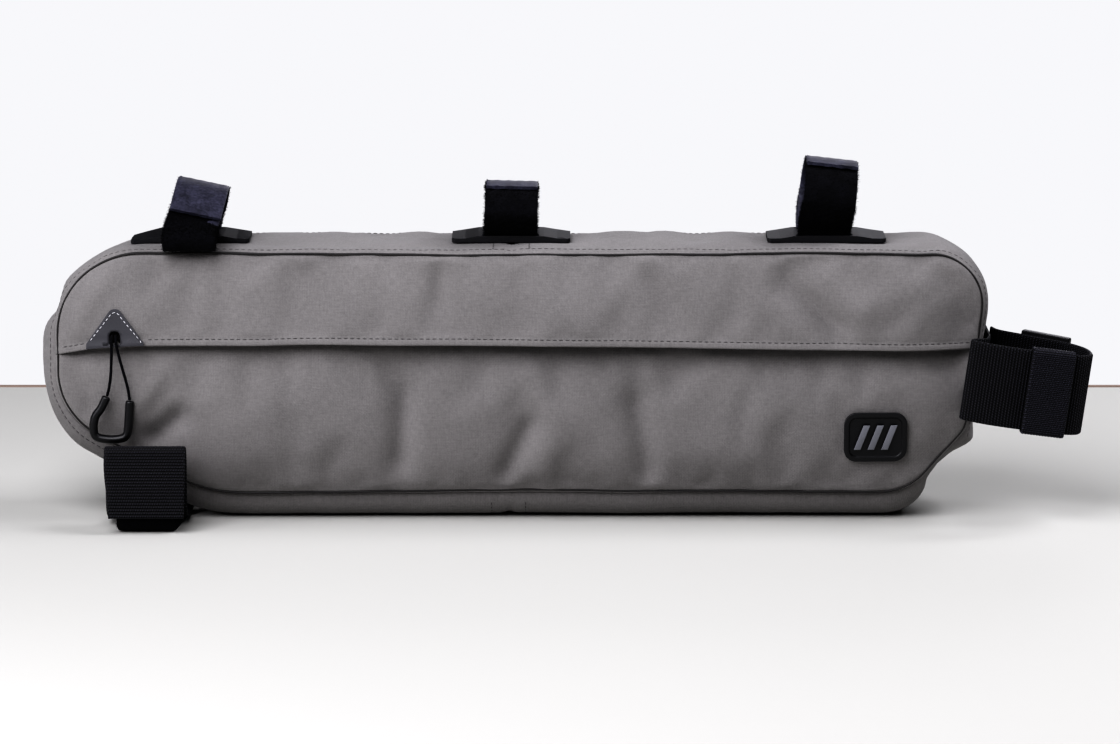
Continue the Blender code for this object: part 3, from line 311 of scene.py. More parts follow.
class FrameBagColours(bpy.types.PropertyGroup):
    """Colours of the finishes."""

    canvas: colour_property("Canvas", "Coated canvas of the body", "747271")
    # Partly painted highlight: the hook tape's back is a smoother face of its own, and this colour
    # is also made lighter to stand for the overhead light's reflection on it.
    strap: colour_property("Hook tape", "Smooth back of the hook-and-loop straps", "33333E")
    fuzz: colour_property("Loop tape", "Fuzzy face of the hook-and-loop straps", "0C0C10")
    # The webbing and keeper colours also carry a painted highlight: the webbing material raises
    # them up to fourteen times on the rib crests.
    webbing: colour_property("Webbing", "Ribbed webbing of the end straps", "09090C")
    keeper: colour_property("Keeper", "Finer webbing of the keeper", "131318")
    moulded: colour_property("Moulded nylon", "Buckle, slider and grip", "0A0A0D")
    garage: colour_property("Zip garage", "Rubber patch at the zip's end", "39393D")
    laminate: colour_property("Patch laminate", "Patches under the top straps", "0B0B10")
    # Painted shade: this dark colour is used only on the strip laid in the seams, which stands for
    # their shadow, not for any thread.
    thread: colour_property("Dark thread", "Thread of the body's seams", "1E1C1B")
    canvas_thread: colour_property("Canvas thread", "Thread of the canvas's stitch rows", "3E3C3B")
    light_thread: colour_property("Light thread", "Thread of the garage's edge", "C9C9CC")
    badge: colour_property("Badge rubber", "Badge plate", "0B0B0E")
    badge_grey: colour_property("Badge bars", "Raised bars on the badge", "6C6D72")
    floor: colour_property("Floor", "Studio floor", "B2B2AE")
    board: colour_property("Bare board", "Thin bare edge at the back of the floor", "8B7C73")
    backdrop: colour_property("Backdrop", "Pale backdrop behind the floor", "C5C5C7")


# Small helpers for paths and shapes

def row(columns, values):
    """One table row as a dictionary by column name."""
    return dict(zip(columns, values, strict=True))


def smooth_path(points, per_span):
    """Points along the smooth open curve that passes through the given ones."""
    path = []
    for k in range(len(points) - 1):
        before, start, end = points[max(k - 1, 0)], points[k], points[k + 1]
        after = points[min(k + 2, len(points) - 1)]
        for s in range(per_span):
            t = s / per_span
            path.append(0.5 * (2 * start + (end - before) * t
                               + (2 * before - 5 * start + 4 * end - after) * t ** 2
                               + (3 * start - before - 3 * end + after) * t ** 3))
    path.append(points[-1].copy())
    return path


def even_points(points, pitch, closed=False):
    """Points at an even spacing along a polyline, as an array."""
    line = np.array([tuple(p) for p in points])
    if closed:
        line = np.vstack([line, line[:1]])
    along = np.concatenate([[0.0], np.cumsum(np.linalg.norm(np.diff(line, axis=0), axis=1))])
    count = max(round(along[-1] / pitch), 2)
    places = np.linspace(0.0, along[-1], count + 1)
    if closed:
        places = places[:-1]
    return np.stack([np.interp(places, along, line[:, k]) for k in range(line.shape[1])], axis=1)


def ease(share):
    """A smooth rise from 0 to 1, for numbers or arrays."""
    share = np.clip(share, 0.0, 1.0)
    return share * share * (3 - 2 * share)


def ripple(points, wavelength, seed, stretch=(1.0, 1.0)):
    """Smooth noise from -1 to 1 over an array of flat places."""
    scaled = points * np.array(stretch) / wavelength
    return np.array([noise.noise(Vector((a, b, seed))) for a, b in scaled])


# The bag's outline and its surfaces

def seam_point(x_share, z_share):
    """A place in the front view given in shares of the seam's length and height."""
    return Vector((SEAM_LEFT + x_share * SEAM_LENGTH,
                   GUSSET_CROWN["bottom"] + z_share * SEAM_HEIGHT))


def corner_round(previous, corner, following, radius, steps):
    """The arc that rounds one corner of the outline."""
    back = (previous - corner).normalized()
    ahead = (following - corner).normalized()
    half = back.angle(ahead) / 2
    centre = corner + (back + ahead).normalized() * (radius / math.sin(half))
    start = corner + back * (radius / math.tan(half)) - centre
    sweep = math.pi - 2 * half
    return [centre + Matrix.Rotation(sweep * s / steps, 2) @ start for s in range(steps + 1)]


def seam_outline(radius_column):
    """The seam's closed outline in the XZ plane, and the station of each named corner."""
    rows = [row(CORNER_COLUMNS, values) for values in CORNERS]
    corners = [seam_point(r["x"], r["z"]) for r in rows]
    arcs = []
    for k, r in enumerate(rows):
        if r["steps"] == 0:
            arcs.append([corners[k]])
        else:
            arcs.append(corner_round(corners[k - 1], corners[k], corners[(k + 1) % len(rows)],
                                     r[radius_column] * SEAM_HEIGHT, r["steps"] * FINE))
    points, stations = [], {}
    for k, r in enumerate(rows):
        stations[r["name"]] = len(points)
        points += arcs[k]
        start, end = arcs[k][-1], arcs[(k + 1) % len(rows)][0]
        points += [start.lerp(end, s / (r["run"] * FINE)) for s in range(1, r["run"] * FINE)]
    return np.array([tuple(p) for p in points]), stations


def hand_sewn(outline, seed):
    """An outline that wanders a little, as a sewn seam does."""
    run = np.roll(outline, -1, axis=0) - np.roll(outline, 1, axis=0)
    out = np.stack([run[:, 1], -run[:, 0]], axis=1) / np.linalg.norm(run, axis=1)[:, None]
    wander = 0.0009 * ripple(outline, 0.045, seed) + 0.0003 * ripple(outline, 0.016, seed + 5)
    return outline + out * wander[:, None]


FRONT_PATTERN, STATIONS = seam_outline("front_r")
FRONT_OUTLINE = hand_sewn(FRONT_PATTERN, 41.5)
BACK_OUTLINE = hand_sewn(seam_outline("back_r")[0], 51.5)


def line_distance(points, start, end):
    """The distance from flat places to a straight piece."""
    run = end - start
    along = np.clip(((points - start) @ run) / (run @ run), 0.0, 1.0)
    away = points - start - along[:, None] * run
    return np.hypot(away[:, 0], away[:, 1])


def edge_distance(points, outline):
    """The distance from flat places to the seam."""
    nearest = np.full(len(points), 1.0)
    for start, end in zip(np.roll(outline, 1, axis=0)[::2], outline[1::2]):
        nearest = np.minimum(nearest, line_distance(points, start, end))
    return nearest


def fold_height(points, folds):
    """How far the folds of one table push the cloth outward."""
    total = np.zeros(len(points))
    for values in folds:
        r = row(FOLD_COLUMNS, values)
        start = np.array(seam_point(r["x0"], r["z0"]))
        end = np.array(seam_point(r["x1"], r["z1"]))
        away = line_distance(points, start, end) / (r["width"] * SEAM_HEIGHT)
        total += r["depth"] * FOLD_DEPTH * np.exp(-away * away)
    return total


def crown(distance):
    """The share of a panel's bulge at a distance from its seam."""
    return 1 - (1 - np.minimum(distance / BULGE_REACH, 1.0)) ** 2


def flap_z(x):
    """The height of the storm flap's lower edge."""
    shares = (np.asarray(x) - SEAM_LEFT) / SEAM_LENGTH
    table = np.array(FLAP_EDGE)
    return GUSSET_CROWN["bottom"] + np.interp(shares, table[:, 0], table[:, 1]) * SEAM_HEIGHT


def turned_in(away):
    """How far cloth rolls in where it is sewn into a seam."""
    return 0.0010 * np.exp(-(away / 0.0010) ** 2)


def slack_cloth(points, away, seed):
    """Small unevenness of slack cloth: soft waves, and puckers beside the seam."""
    wave = 0.0008 * ripple(points, 0.034, seed) + 0.0004 * ripple(points, 0.015, seed + 7)
    pucker = 0.0007 * ripple(points, 0.008, seed + 3) * np.exp(-away / 0.007)
    return (wave * ease(away / 0.010) + pucker) * ease(away / 0.0025)


def upper_pattern(points, away):
    """How far in front of the bag's middle the upper panel's smooth form is."""
    taper = ease(away / END_TAPER)
    lift = FLAP_LIFT * ease(1 - (points[:, 1] - flap_z(points[:, 0])) / FLAP_LIFT_REACH) * taper
    return DEPTH / 2 + FRONT_BULGE * crown(away) + lift + fold_height(points, UPPER_FOLDS) * taper


def tape_height(points):
    """How far in front of the bag's middle the zip tape is: behind the coil, then up to
    the upper panel."""
    pattern = upper_pattern(points, edge_distance(points, FRONT_OUTLINE))
    deep = 2 * WALL + 2 * GAP + FLAP_SLACK + ZIP_SLACK
    above = points[:, 1] - flap_z(points[:, 0])
    near = ease((above - ZIP_STRAIGHT) / (ZIP_TAPE_ABOVE - ZIP_STRAIGHT))
    return pattern - deep + (deep - WALL - 2 * SEAT) * near


def upper_height(points):
    """How far in front of the bag's middle the upper panel's outer face is."""
    x, z = points[:, 0], points[:, 1]
    away = edge_distance(points, FRONT_OUTLINE)
    taper = ease(away / END_TAPER)
    filling = FLAP_FILLING * ease((away - 0.006) / 0.040) * ease((x - GARAGE_X - 0.015) / 0.060)
    above = z - flap_z(x)
    hem = (0.0004 * ease((0.0036 - above) / 0.0012)
           - 0.0003 * np.exp(-((above - FLAP_STITCH_ROW) / 0.0007) ** 2))
    wander = 0.0006 * ripple(points, 0.022, 4.0) * ease(1 - above / 0.020) * taper
    return (upper_pattern(points, away) + filling + wander + hem * taper
            + fold_height(points, UPPER_CREASES) * taper
            + slack_cloth(points, away, 1.5) - turned_in(away))


def lower_height(points):
    """How far in front of the bag's middle the lower panel's outer face is."""
    x, z = points[:, 0], points[:, 1]
    away = edge_distance(points, FRONT_OUTLINE)
    taper = ease(away / END_TAPER)
    under = flap_z(x) - z
    below = under / RECESS_REACH
    recess = (WALL + GAP + FLAP_SLACK) * ease(1 - below) * taper
    along = (x - SEAM_LEFT) / SEAM_LENGTH
    tuck = (0.0010 * ease(1 - under / 0.004)
            + 0.0028 * ease(1 - under / 0.020) * ease((along - 0.16) / 0.40)) * taper
    return (DEPTH / 2 + FRONT_BULGE * crown(away) - recess - tuck
            + fold_height(points, LOWER_FOLDS + LOWER_CREASES) * taper * ease(below)
            + slack_cloth(points, away, 11.5) * ease(below * 3) - turned_in(away))


def back_height(points):
    """How far behind the bag's middle the back panel's outer face is."""
    away = edge_distance(points, BACK_OUTLINE)
    return (DEPTH / 2 + BACK_BULGE * crown(away)
            + fold_height(points, BACK_FOLDS) * ease(away / END_TAPER)
            + slack_cloth(points, away, 21.5) - turned_in(away))


def clipped(outline, limit, keep_above):
    """The part of an outline on one side of the line z = limit(x), closed along that line."""
    sign = 1 if keep_above else -1
    side = sign * (outline[:, 1] - limit(outline[:, 0]))
    count = len(outline)
    start = next(k for k in range(count) if side[k - 1] < 0 <= side[k])
    kept = []
    for k in range(start, start + count):
        here, there = outline[k % count], outline[(k - 1) % count]
        a, b = side[k % count], side[(k - 1) % count]
        if (a >= 0) != (b >= 0):
            kept.append(here + (there - here) * a / (a - b))
        if a >= 0:
            kept.append(here)
    first, last = kept[0], kept[-1]
    inner = [p for p in kept[1:-1]
             if min(np.linalg.norm(p - first), np.linalg.norm(p - last)) > CELL / 2]
    kept = [first, *inner, last]
    steps = round(abs(first[0] - last[0]) / CELL)
    for s in range(1, steps):
        x = last[0] + (first[0] - last[0]) * s / steps
        kept.append(np.array((x, float(limit(x)))))
    return kept


def lower_top_z(x):
    """The upper edge of the lower panel: under the flap, except near its ends."""
    inside = np.minimum(np.asarray(x) - SEAM_LEFT, SEAM_RIGHT - np.asarray(x))
    return flap_z(x) - GAP + (FLAP_OVERLAP + GAP) * ease(inside / END_TAPER / 2 - 0.5)


# Meshes and objects

def add_piece(name, bm, material, replaces=(), thickness=0.0):
    """A bmesh as a named piece that rides on the bag."""
    mesh = bpy.data.meshes.new(name)
    bm.to_mesh(mesh)
    bm.free()
    mesh.shade_smooth()
    mesh.set_sharp_from_angle(angle=math.radians(50))
    materials = material if isinstance(material, (list, tuple)) else [material]
    for each in materials:
        mesh.materials.append(each)
    made = bpy.data.objects.new(name, mesh)
    bpy.context.scene.collection.objects.link(made)
    if thickness:
        walled(made, thickness)
    return placed(made, replaces)


def placed(made, replaces=()):
    """A piece tied to the bag's body, with the solids that it replaces hidden."""
    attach(made, "root")
    if replaces:
        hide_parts(*replaces)
    return made


def set_cloth_uv(bm, along_of):
    """The cloth's own coordinates in metres, from each vertex."""
    layer = bm.loops.layers.uv.new("cloth")
    for face in bm.faces:
        for loop in face.loops:
            loop[layer].uv = along_of[loop.vert.index]


def flat_sheet(polygon, cell, rings):
    """A flat sheet in the XZ plane: rings along its edge and a grid inside."""
    bm = bmesh.new()
    face = bm.faces.new([bm.verts.new((p[0], 0.0, p[1])) for p in polygon])
    for ring, following in zip(rings, (*rings[1:], 0.0)):
        bmesh.ops.inset_region(bm, faces=[face], thickness=ring, use_boundary=True,
                               use_even_offset=True)
        bmesh.ops.remove_doubles(bm, verts=face.verts[:], dist=following)
        face = max(bm.faces, key=lambda f: f.calc_area())
    inner = [face]
    for axis in (0, 2):
        low = min(p[axis // 2] for p in polygon)
        high = max(p[axis // 2] for p in polygon)
        count = max(round((high - low) / cell), 1)
        normal = Vector((1, 0, 0)) if axis == 0 else Vector((0, 0, 1))
        for k in range(1, count):
            edges = list({e for f in inner for e in f.edges})
            verts = list({v for f in inner for v in f.verts})
            cut = bmesh.ops.bisect_plane(bm, geom=verts + edges + inner, dist=1e-5,
                                         plane_no=normal,
                                         plane_co=normal * (low + (high - low) * k / count))
            inner = [g for g in cut["geom"] if isinstance(g, bmesh.types.BMFace)]
    bmesh.ops.remove_doubles(bm, verts=bm.verts[:], dist=cell / 14)
    return bm


def laid_sheet(polygon, cell, rings, height, front, extra=None):
    """A sheet on a surface of the bag's front or back, with its cloth coordinates."""
    bm = flat_sheet(polygon, cell, rings)
    bm.verts.index_update()
    bm.verts.ensure_lookup_table()
    points = np.array([(v.co.x, v.co.z) for v in bm.verts])
    heights = height(points)
    if extra is not None:
        heights = heights + extra(points)
    for v, away in zip(bm.verts, heights):
        v.co.y = -away if front else away
    bm.normal_update()
    facing = sum(f.normal.y * f.calc_area() for f in bm.faces)
    if (facing > 0) == front:
        bmesh.ops.reverse_faces(bm, faces=bm.faces[:])
    set_cloth_uv(bm, points)
    return bm


def slackened(made, pinned, growth, pressure, limit):
    """Lets a panel's cloth settle: held along its seams, cut a little too large for its
    frame and lightly filled from inside, and kept near its pattern. limit is an array."""
    group = made.vertex_groups.new(name="seam")
    group.add([int(i) for i in np.flatnonzero(pinned)], 1.0, "REPLACE")
    before = np.array([tuple(v.co) for v in made.data.vertices])
    cloth = made.modifiers.new("settling", "CLOTH")
    cloth.settings.quality = 6
    cloth.settings.mass = 0.15
    cloth.settings.tension_stiffness = 20.0
    cloth.settings.compression_stiffness = 20.0
    cloth.settings.shear_stiffness = 8.0
    cloth.settings.bending_stiffness = 1.5
    cloth.settings.air_damping = 4.0
    cloth.settings.shrink_min = -growth
    cloth.settings.vertex_group_mass = "seam"
    cloth.settings.use_pressure = True
    cloth.settings.uniform_pressure_force = pressure
    cloth.settings.effector_weights.gravity = 0.0
    cloth.collision_settings.use_collision = False
    cloth.point_cache.frame_start, cloth.point_cache.frame_end = 1, SETTLING_STEPS
    for step in range(1, SETTLING_STEPS + 1):
        bpy.context.scene.frame_set(step)
    found = made.evaluated_get(bpy.context.evaluated_depsgraph_get())
    after = np.array([tuple(v.co) for v in found.data.vertices])
    made.modifiers.remove(cloth)
    made.vertex_groups.clear()
    bpy.context.scene.frame_set(1)
    moved = after - before
    far = np.linalg.norm(moved, axis=1)
    moved *= (limit * np.tanh(far / limit) / np.maximum(far, 1e-9))[:, None]
    bm = bmesh.new()
    bm.from_mesh(made.data)
    for v, place in zip(bm.verts, before + moved):
        v.co = place
    free = [v for v, fixed in zip(bm.verts, pinned) if not fixed]
    for _ in range(3):
        bmesh.ops.smooth_vert(bm, verts=free, factor=0.5, use_axis_x=True, use_axis_y=True,
                              use_axis_z=True)
    bm.to_mesh(made.data)
    bm.free()


def walled(made, thickness=WALL):
    """Gives a sheet its thickness, inward."""
    wall = made.modifiers.new("cloth_wall", "SOLIDIFY")
    wall.thickness = thickness
    wall.offset = -1


def settle(made):
    """Keeps what a piece's modifiers give as its own mesh."""
    deps = bpy.context.evaluated_depsgraph_get()
    mesh = bpy.data.meshes.new_from_object(made.evaluated_get(deps), depsgraph=deps)
    made.modifiers.clear()
    made.data = mesh
    return made


def joined_copies(name, bm, places, material):
    """Many copies of a small shape as one mesh. places are 4 by 4 matrices."""
    bm.verts.index_update()
    base = np.array([tuple(v.co) for v in bm.verts])
    faces = [[v.index for v in f.verts] for f in bm.faces]
    bm.free()
    places = np.array([np.array(m) for m in places])
    moved = np.einsum("kij,vj->kvi", places[:, :3, :3], base) + places[:, None, :3, 3]
    all_faces = [[v + k * len(base) for v in f] for k in range(len(places)) for f in faces]
    mesh = bpy.data.meshes.new(name)
    mesh.from_pydata(moved.reshape(-1, 3).tolist(), [], all_faces)
    mesh.shade_smooth()
    mesh.materials.append(material)
    made = bpy.data.objects.new(name, mesh)
    bpy.context.scene.collection.objects.link(made)
    return placed(made)


def stitch_shape(length, thickness):
    """One stitch: a short bead of thread that dips at both ends."""
    bm = bmesh.new()
    bmesh.ops.create_uvsphere(bm, u_segments=6, v_segments=5, radius=0.5)
    bmesh.ops.rotate(bm, matrix=Matrix.Rotation(math.pi / 2, 3, "Y"), verts=bm.verts[:])
    bmesh.ops.scale(bm, vec=(length, thickness, thickness), verts=bm.verts[:])
    return bm


def stitch_places(path, normals, pitch):
    """Matrices for stitches along a path, X along it and Z out of the cloth."""
    path = np.asarray(path)
    normals = np.asarray(normals)
    along = np.concatenate([[0.0], np.cumsum(np.linalg.norm(np.diff(path, axis=0), axis=1))])
    places = []
    for k in range(int(along[-1] / pitch)):
        middle = (k + 0.5) * pitch
        here = np.array([np.interp(middle, along, path[:, c]) for c in range(3)])
        ahead = np.array([np.interp(middle + pitch / 4, along, path[:, c]) for c in range(3)])
        out = np.array([np.interp(middle, along, normals[:, c]) for c in range(3)])
        run = Vector(ahead - here).normalized()
        out = (Vector(out) - run * Vector(out).dot(run)).normalized()
        side = out.cross(run)
        turned = Matrix((run, side, out)).transposed().to_4x4()
        places.append(Matrix.Translation(Vector(here)) @ turned)
    return places


def strap_section(width, thickness, across):
    """Points round a strap's section: (across, out, side) with rounded edges."""
    half, deep = width / 2 - thickness / 2, thickness / 2
    spans = np.linspace(-half, half, across + 1)
    points = [(a, deep, 1.0) for a in spans]
    points += [(half + deep * math.sin(t), deep * math.cos(t), 0.0)
               for t in np.linspace(0, math.pi, 6)[1:-1]]
    points += [(a, -deep, -1.0) for a in spans[::-1]]
    points += [(-half - deep * math.sin(t), -deep * math.cos(t), 0.0)
               for t in np.linspace(0, math.pi, 6)[1:-1]]
    return np.array(points)


def strap_mesh(path, sides, width, thickness, across, relief=None, closed=False):
    """A strap swept along a path. sides are its width directions, and relief(s, a) is
    how far its faces stand out at a length s along it and a place a across it."""
    path = np.asarray(path, dtype=float)
    sides = np.asarray(sides, dtype=float)
    section = strap_section(width, thickness, across)
    count, around = len(path), len(section)
    steps = count if closed else count - 1
    bm = bmesh.new()
    bmesh.ops.create_grid(bm, x_segments=steps, y_segments=around, size=1.0)
    bm.verts.index_update()
    flat = np.array([(v.co.x, v.co.y) for v in bm.verts])
    station = np.rint((flat[:, 0] + 1) / 2 * steps).astype(int)
    turn = np.rint((flat[:, 1] + 1) / 2 * around).astype(int) % around
    ahead = np.roll(path, -1, axis=0) - np.roll(path, 1, axis=0)
    if not closed:
        ahead[0], ahead[-1] = path[1] - path[0], path[-1] - path[-2]
    ahead /= np.linalg.norm(ahead, axis=1)[:, None]
    out = np.cross(sides, ahead)
    out /= np.linalg.norm(out, axis=1)[:, None]
    lengths = np.concatenate([[0.0], np.cumsum(np.linalg.norm(np.diff(path, axis=0), axis=1))])
    if closed:
        lengths = np.append(lengths, lengths[-1] + np.linalg.norm(path[0] - path[-1]))
    across_at, out_at, face = section[turn].T
    stood = np.zeros(len(turn)) if relief is None else relief(lengths[station], across_at)
    k = station % count
    places = (path[k] + sides[k] * across_at[:, None]
              + out[k] * (out_at + stood * face)[:, None])
    for v, place in zip(bm.verts, places):
        v.co = place
    layer = bm.loops.layers.uv.new("cloth")
    for f in bm.faces:
        last = all(turn[v.index] in (0, around - 1) for v in f.verts)
        for loop in f.loops:
            i = loop.vert.index
            loop[layer].uv = (lengths[station[i]], across_at[i] if not last else -width / 2)
    bmesh.ops.remove_doubles(bm, verts=bm.verts[:], dist=1e-6)
    if not closed:
        rims = [e for e in bm.edges if e.is_boundary]
        bmesh.ops.holes_fill(bm, edges=rims)
    bmesh.ops.recalc_face_normals(bm, faces=bm.faces[:])
    return bm


def tree_of_nodes(*names):
    """A search tree over the solids' own faces."""
    verts, faces = [], []
    for name in names:
        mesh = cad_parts[name].data
        shift = len(verts)
        verts += [v.co.copy() for v in mesh.vertices]
        faces += [tuple(i + shift for i in p.vertices) for p in mesh.polygons]
    return BVHTree.FromPolygons(verts, faces)


# Materials

def add_node(tree, kind, inputs=None, **settings):
    """A node with its settings, values and links."""
    made = tree.nodes.new(kind)
    for key, value in settings.items():
        setattr(made, key, value)
    for key, value in (inputs or {}).items():
        if isinstance(value, bpy.types.NodeSocket):
            tree.links.new(value, made.inputs[key])
        else:
            made.inputs[key].default_value = value
    return made


def base_material(name, roughness, **sockets):
    """A Principled material with the given values on its own sockets."""
    made = bpy.data.materials.new(name)
    made.use_nodes = True
    shader = made.node_tree.nodes["Principled BSDF"]
    shader.inputs["Roughness"].default_value = roughness
    for key, value in sockets.items():
        shader.inputs[key.replace("_", " ").title()].default_value = value
    return made, made.node_tree, shader


def shades(colour, low, high):
    """A darker and a lighter shade of one colour."""
    return ([c * low for c in colour[:3]] + [1.0], [min(c * high, 1.0) for c in colour[:3]] + [1.0])


def finish_surface(tree, shader, dark, light, factor, height, strength, distance):
    """Colour between two shades by one pattern, and bump by another."""
    colour = add_node(tree, "ShaderNodeMix", {0: factor, 6: dark, 7: light}, data_type="RGBA")
    tree.links.new(colour.outputs[2], shader.inputs["Base Color"])
    bump = add_node(tree, "ShaderNodeBump", {"Height": height, "Strength": strength,
                                             "Distance": distance})
    tree.links.new(bump.outputs["Normal"], shader.inputs["Normal"])


def canvas_material(name, colour, pitch):
    """Polyester canvas, plain woven and coated: a matt cloth with a fine speckled grain.
    Its real threads are about 0.4 mm apart and are drawn twice as coarse, to show."""
    made, tree, shader = base_material(name, 0.88, sheen_weight=0.12, sheen_roughness=0.6)
    shader.inputs["Specular IOR Level"].default_value = 0.25
    uv = add_node(tree, "ShaderNodeUVMap", uv_map="cloth").outputs["UV"]
    split = add_node(tree, "ShaderNodeSeparateXYZ", {"Vector": uv})
    threads = []
    for axis in ("X", "Y"):
        turned = add_node(tree, "ShaderNodeMath", {0: split.outputs[axis], 1: math.pi / pitch},
                          operation="MULTIPLY")
        wave = add_node(tree, "ShaderNodeMath", {0: turned.outputs[0]}, operation="SINE")
        threads.append(add_node(tree, "ShaderNodeMath", {0: wave.outputs[0]}, operation="ABSOLUTE"))
    over = add_node(tree, "ShaderNodeTexChecker", {"Vector": uv, "Scale": 1 / pitch})
    weave = add_node(tree, "ShaderNodeMix", {0: over.outputs["Fac"], 2: threads[0].outputs[0],
                                             3: threads[1].outputs[0]}, data_type="FLOAT")
    slubs = []
    for stretch in ((1.0, 0.25, 1.0), (0.25, 1.0, 1.0)):
        drawn = add_node(tree, "ShaderNodeMapping", {"Vector": uv, "Scale": stretch})
        slubs.append(add_node(tree, "ShaderNodeTexNoise", {"Vector": drawn.outputs[0],
                                                           "Scale": 0.9 / pitch, "Detail": 1.0}))
    both = add_node(tree, "ShaderNodeMath", {0: slubs[0].outputs["Fac"],
                                             1: slubs[1].outputs["Fac"]}, operation="ADD")
    grain = add_node(tree, "ShaderNodeTexNoise", {"Vector": uv, "Scale": 1.3 / pitch,
                                                  "Detail": 2.0})
    patches = add_node(tree, "ShaderNodeTexNoise", {"Vector": uv, "Scale": 22.0, "Detail": 3.0})
    mottled = add_node(tree, "ShaderNodeMath", {0: both.outputs[0], 1: grain.outputs["Fac"]},
                       operation="ADD")
    total = add_node(tree, "ShaderNodeMath", {0: mottled.outputs[0], 1: patches.outputs["Fac"]},
                     operation="ADD")
    factor = add_node(tree, "ShaderNodeMapRange", {"Value": total.outputs[0], "From Min": 1.3,
                                                   "From Max": 2.7})
    height = add_node(tree, "ShaderNodeMath", {0: weave.outputs[0], 1: grain.outputs["Fac"]},
                      operation="ADD")
    dark, light = shades(colour, 0.82, 1.18)
    finish_surface(tree, shader, dark, light, factor.outputs[0], height.outputs[0], 0.30, 0.0002)
    return made


def webbing_material(name, colour, pitch):
    """Ribbed elastic webbing of twisted yarn: dull black with a bluish cast, each rib a row
    of slanting yarn turns. Their glints of light are a painted highlight in the crests' colour."""
    made, tree, shader = base_material(name, 0.62, sheen_weight=0.05, sheen_roughness=0.5)
    shader.inputs["Specular IOR Level"].default_value = 0.25
    uv = add_node(tree, "ShaderNodeUVMap", uv_map="cloth").outputs["UV"]
    split = add_node(tree, "ShaderNodeSeparateXYZ", {"Vector": uv})
    rib = add_node(tree, "ShaderNodeMath", {0: split.outputs["X"], 1: 2 * math.pi / pitch},
                   operation="MULTIPLY")
    yarn = add_node(tree, "ShaderNodeMath", {0: split.outputs["Y"],
                                             1: 2 * math.pi / (pitch * 0.85)}, operation="MULTIPLY")
    slant = add_node(tree, "ShaderNodeMath", {0: rib.outputs[0], 1: 0.5, 2: yarn.outputs[0]},
                     operation="MULTIPLY_ADD")
    turns = add_node(tree, "ShaderNodeMath", {0: slant.outputs[0]}, operation="SINE")
    raised = add_node(tree, "ShaderNodeMapRange", {"Value": turns.outputs[0], "From Min": -1.0})
    grain = add_node(tree, "ShaderNodeTexNoise", {"Vector": uv, "Scale": 1800.0, "Detail": 2.0})
    wave = add_node(tree, "ShaderNodeMath", {0: rib.outputs[0]}, operation="COSINE")
    crest = add_node(tree, "ShaderNodeMapRange", {"Value": wave.outputs[0], "From Min": -0.4,
                                                  "From Max": 0.9, "To Min": 0.04, "To Max": 1.6})
    crest_height_and_highlight = add_node(tree, "ShaderNodeMath", {0: raised.outputs[0], 1: crest.outputs[0]},
                   operation="MULTIPLY")
    mixed = add_node(tree, "ShaderNodeMath", {0: crest_height_and_highlight.outputs[0], 1: grain.outputs["Fac"]},
                     operation="MULTIPLY")
    # Painted highlight: the light shade, fourteen times the webbing's colour, brightens the rib
    # crests in place of the light that the yarn catches.
    dark, light = shades(colour, 0.5, 14.0)
    finish_surface(tree, shader, dark, light, mixed.outputs[0], crest_height_and_highlight.outputs[0], 0.8, 0.0004)
    return made


def tape_material(name, colour, roughness, scale, strength, sheen):
    """Hook-and-loop tape: a soft dull nylon face with a fine uneven pile."""
    made, tree, shader = base_material(name, roughness, sheen_weight=sheen, sheen_roughness=0.4)
    shader.inputs["Specular IOR Level"].default_value = 0.2
    place = add_node(tree, "ShaderNodeTexCoord").outputs["Object"]
    pile = add_node(tree, "ShaderNodeTexNoise", {"Vector": place, "Scale": scale, "Detail": 4.0})
    broad = add_node(tree, "ShaderNodeTexNoise", {"Vector": place, "Scale": 160.0, "Detail": 2.0})
    mixed = add_node(tree, "ShaderNodeMath", {0: pile.outputs["Fac"], 1: broad.outputs["Fac"]},
                     operation="MULTIPLY")
    factor = add_node(tree, "ShaderNodeMapRange", {"Value": mixed.outputs[0], "From Min": 0.12,
                                                   "From Max": 0.42})
    dark, light = shades(colour, 0.6, 1.7)
    finish_surface(tree, shader, dark, light, factor.outputs[0], pile.outputs["Fac"],
                   strength, 0.0004)
    return made


def moulded_material(name, colour, roughness, scale=1500.0, strength=0.15):
    """Moulded nylon or rubber with a fine spark-eroded grain: a soft broken gloss."""
    made, tree, shader = base_material(name, roughness)
    place = add_node(tree, "ShaderNodeTexCoord").outputs["Object"]
    grain = add_node(tree, "ShaderNodeTexNoise", {"Vector": place, "Scale": scale, "Detail": 2.0})
    wear = add_node(tree, "ShaderNodeTexNoise", {"Vector": place, "Scale": 90.0, "Detail": 3.0})
    dark, light = shades(colour, 0.85, 1.25)
    finish_surface(tree, shader, dark, light, wear.outputs["Fac"], grain.outputs["Fac"],
                   strength, 0.0002)
    return made


def thread_material(name, colour):
    """Twisted polyester sewing thread: a faint sheen on dark or light beads."""
    made, tree, shader = base_material(name, 0.6, sheen_weight=0.2, sheen_roughness=0.4)
    place = add_node(tree, "ShaderNodeTexCoord").outputs["Object"]
    twist = add_node(tree, "ShaderNodeTexNoise", {"Vector": place, "Scale": 2500.0, "Detail": 1.0})
    dark, light = shades(colour, 0.75, 1.2)
    finish_surface(tree, shader, dark, light, twist.outputs["Fac"], twist.outputs["Fac"],
                   0.3, 0.0001)
    return made


def stage_material(name, colour, roughness):
    """Painted board of the studio: nearly even and matt."""
    made, tree, shader = base_material(name, roughness)
    place = add_node(tree, "ShaderNodeTexCoord").outputs["Object"]
    cloudy = add_node(tree, "ShaderNodeTexNoise", {"Vector": place, "Scale": 3.0, "Detail": 2.0})
    dark, light = shades(colour, 0.985, 1.01)
    finish_surface(tree, shader, dark, light, cloudy.outputs["Fac"], cloudy.outputs["Fac"],
                   0.02, 0.001)
    return made


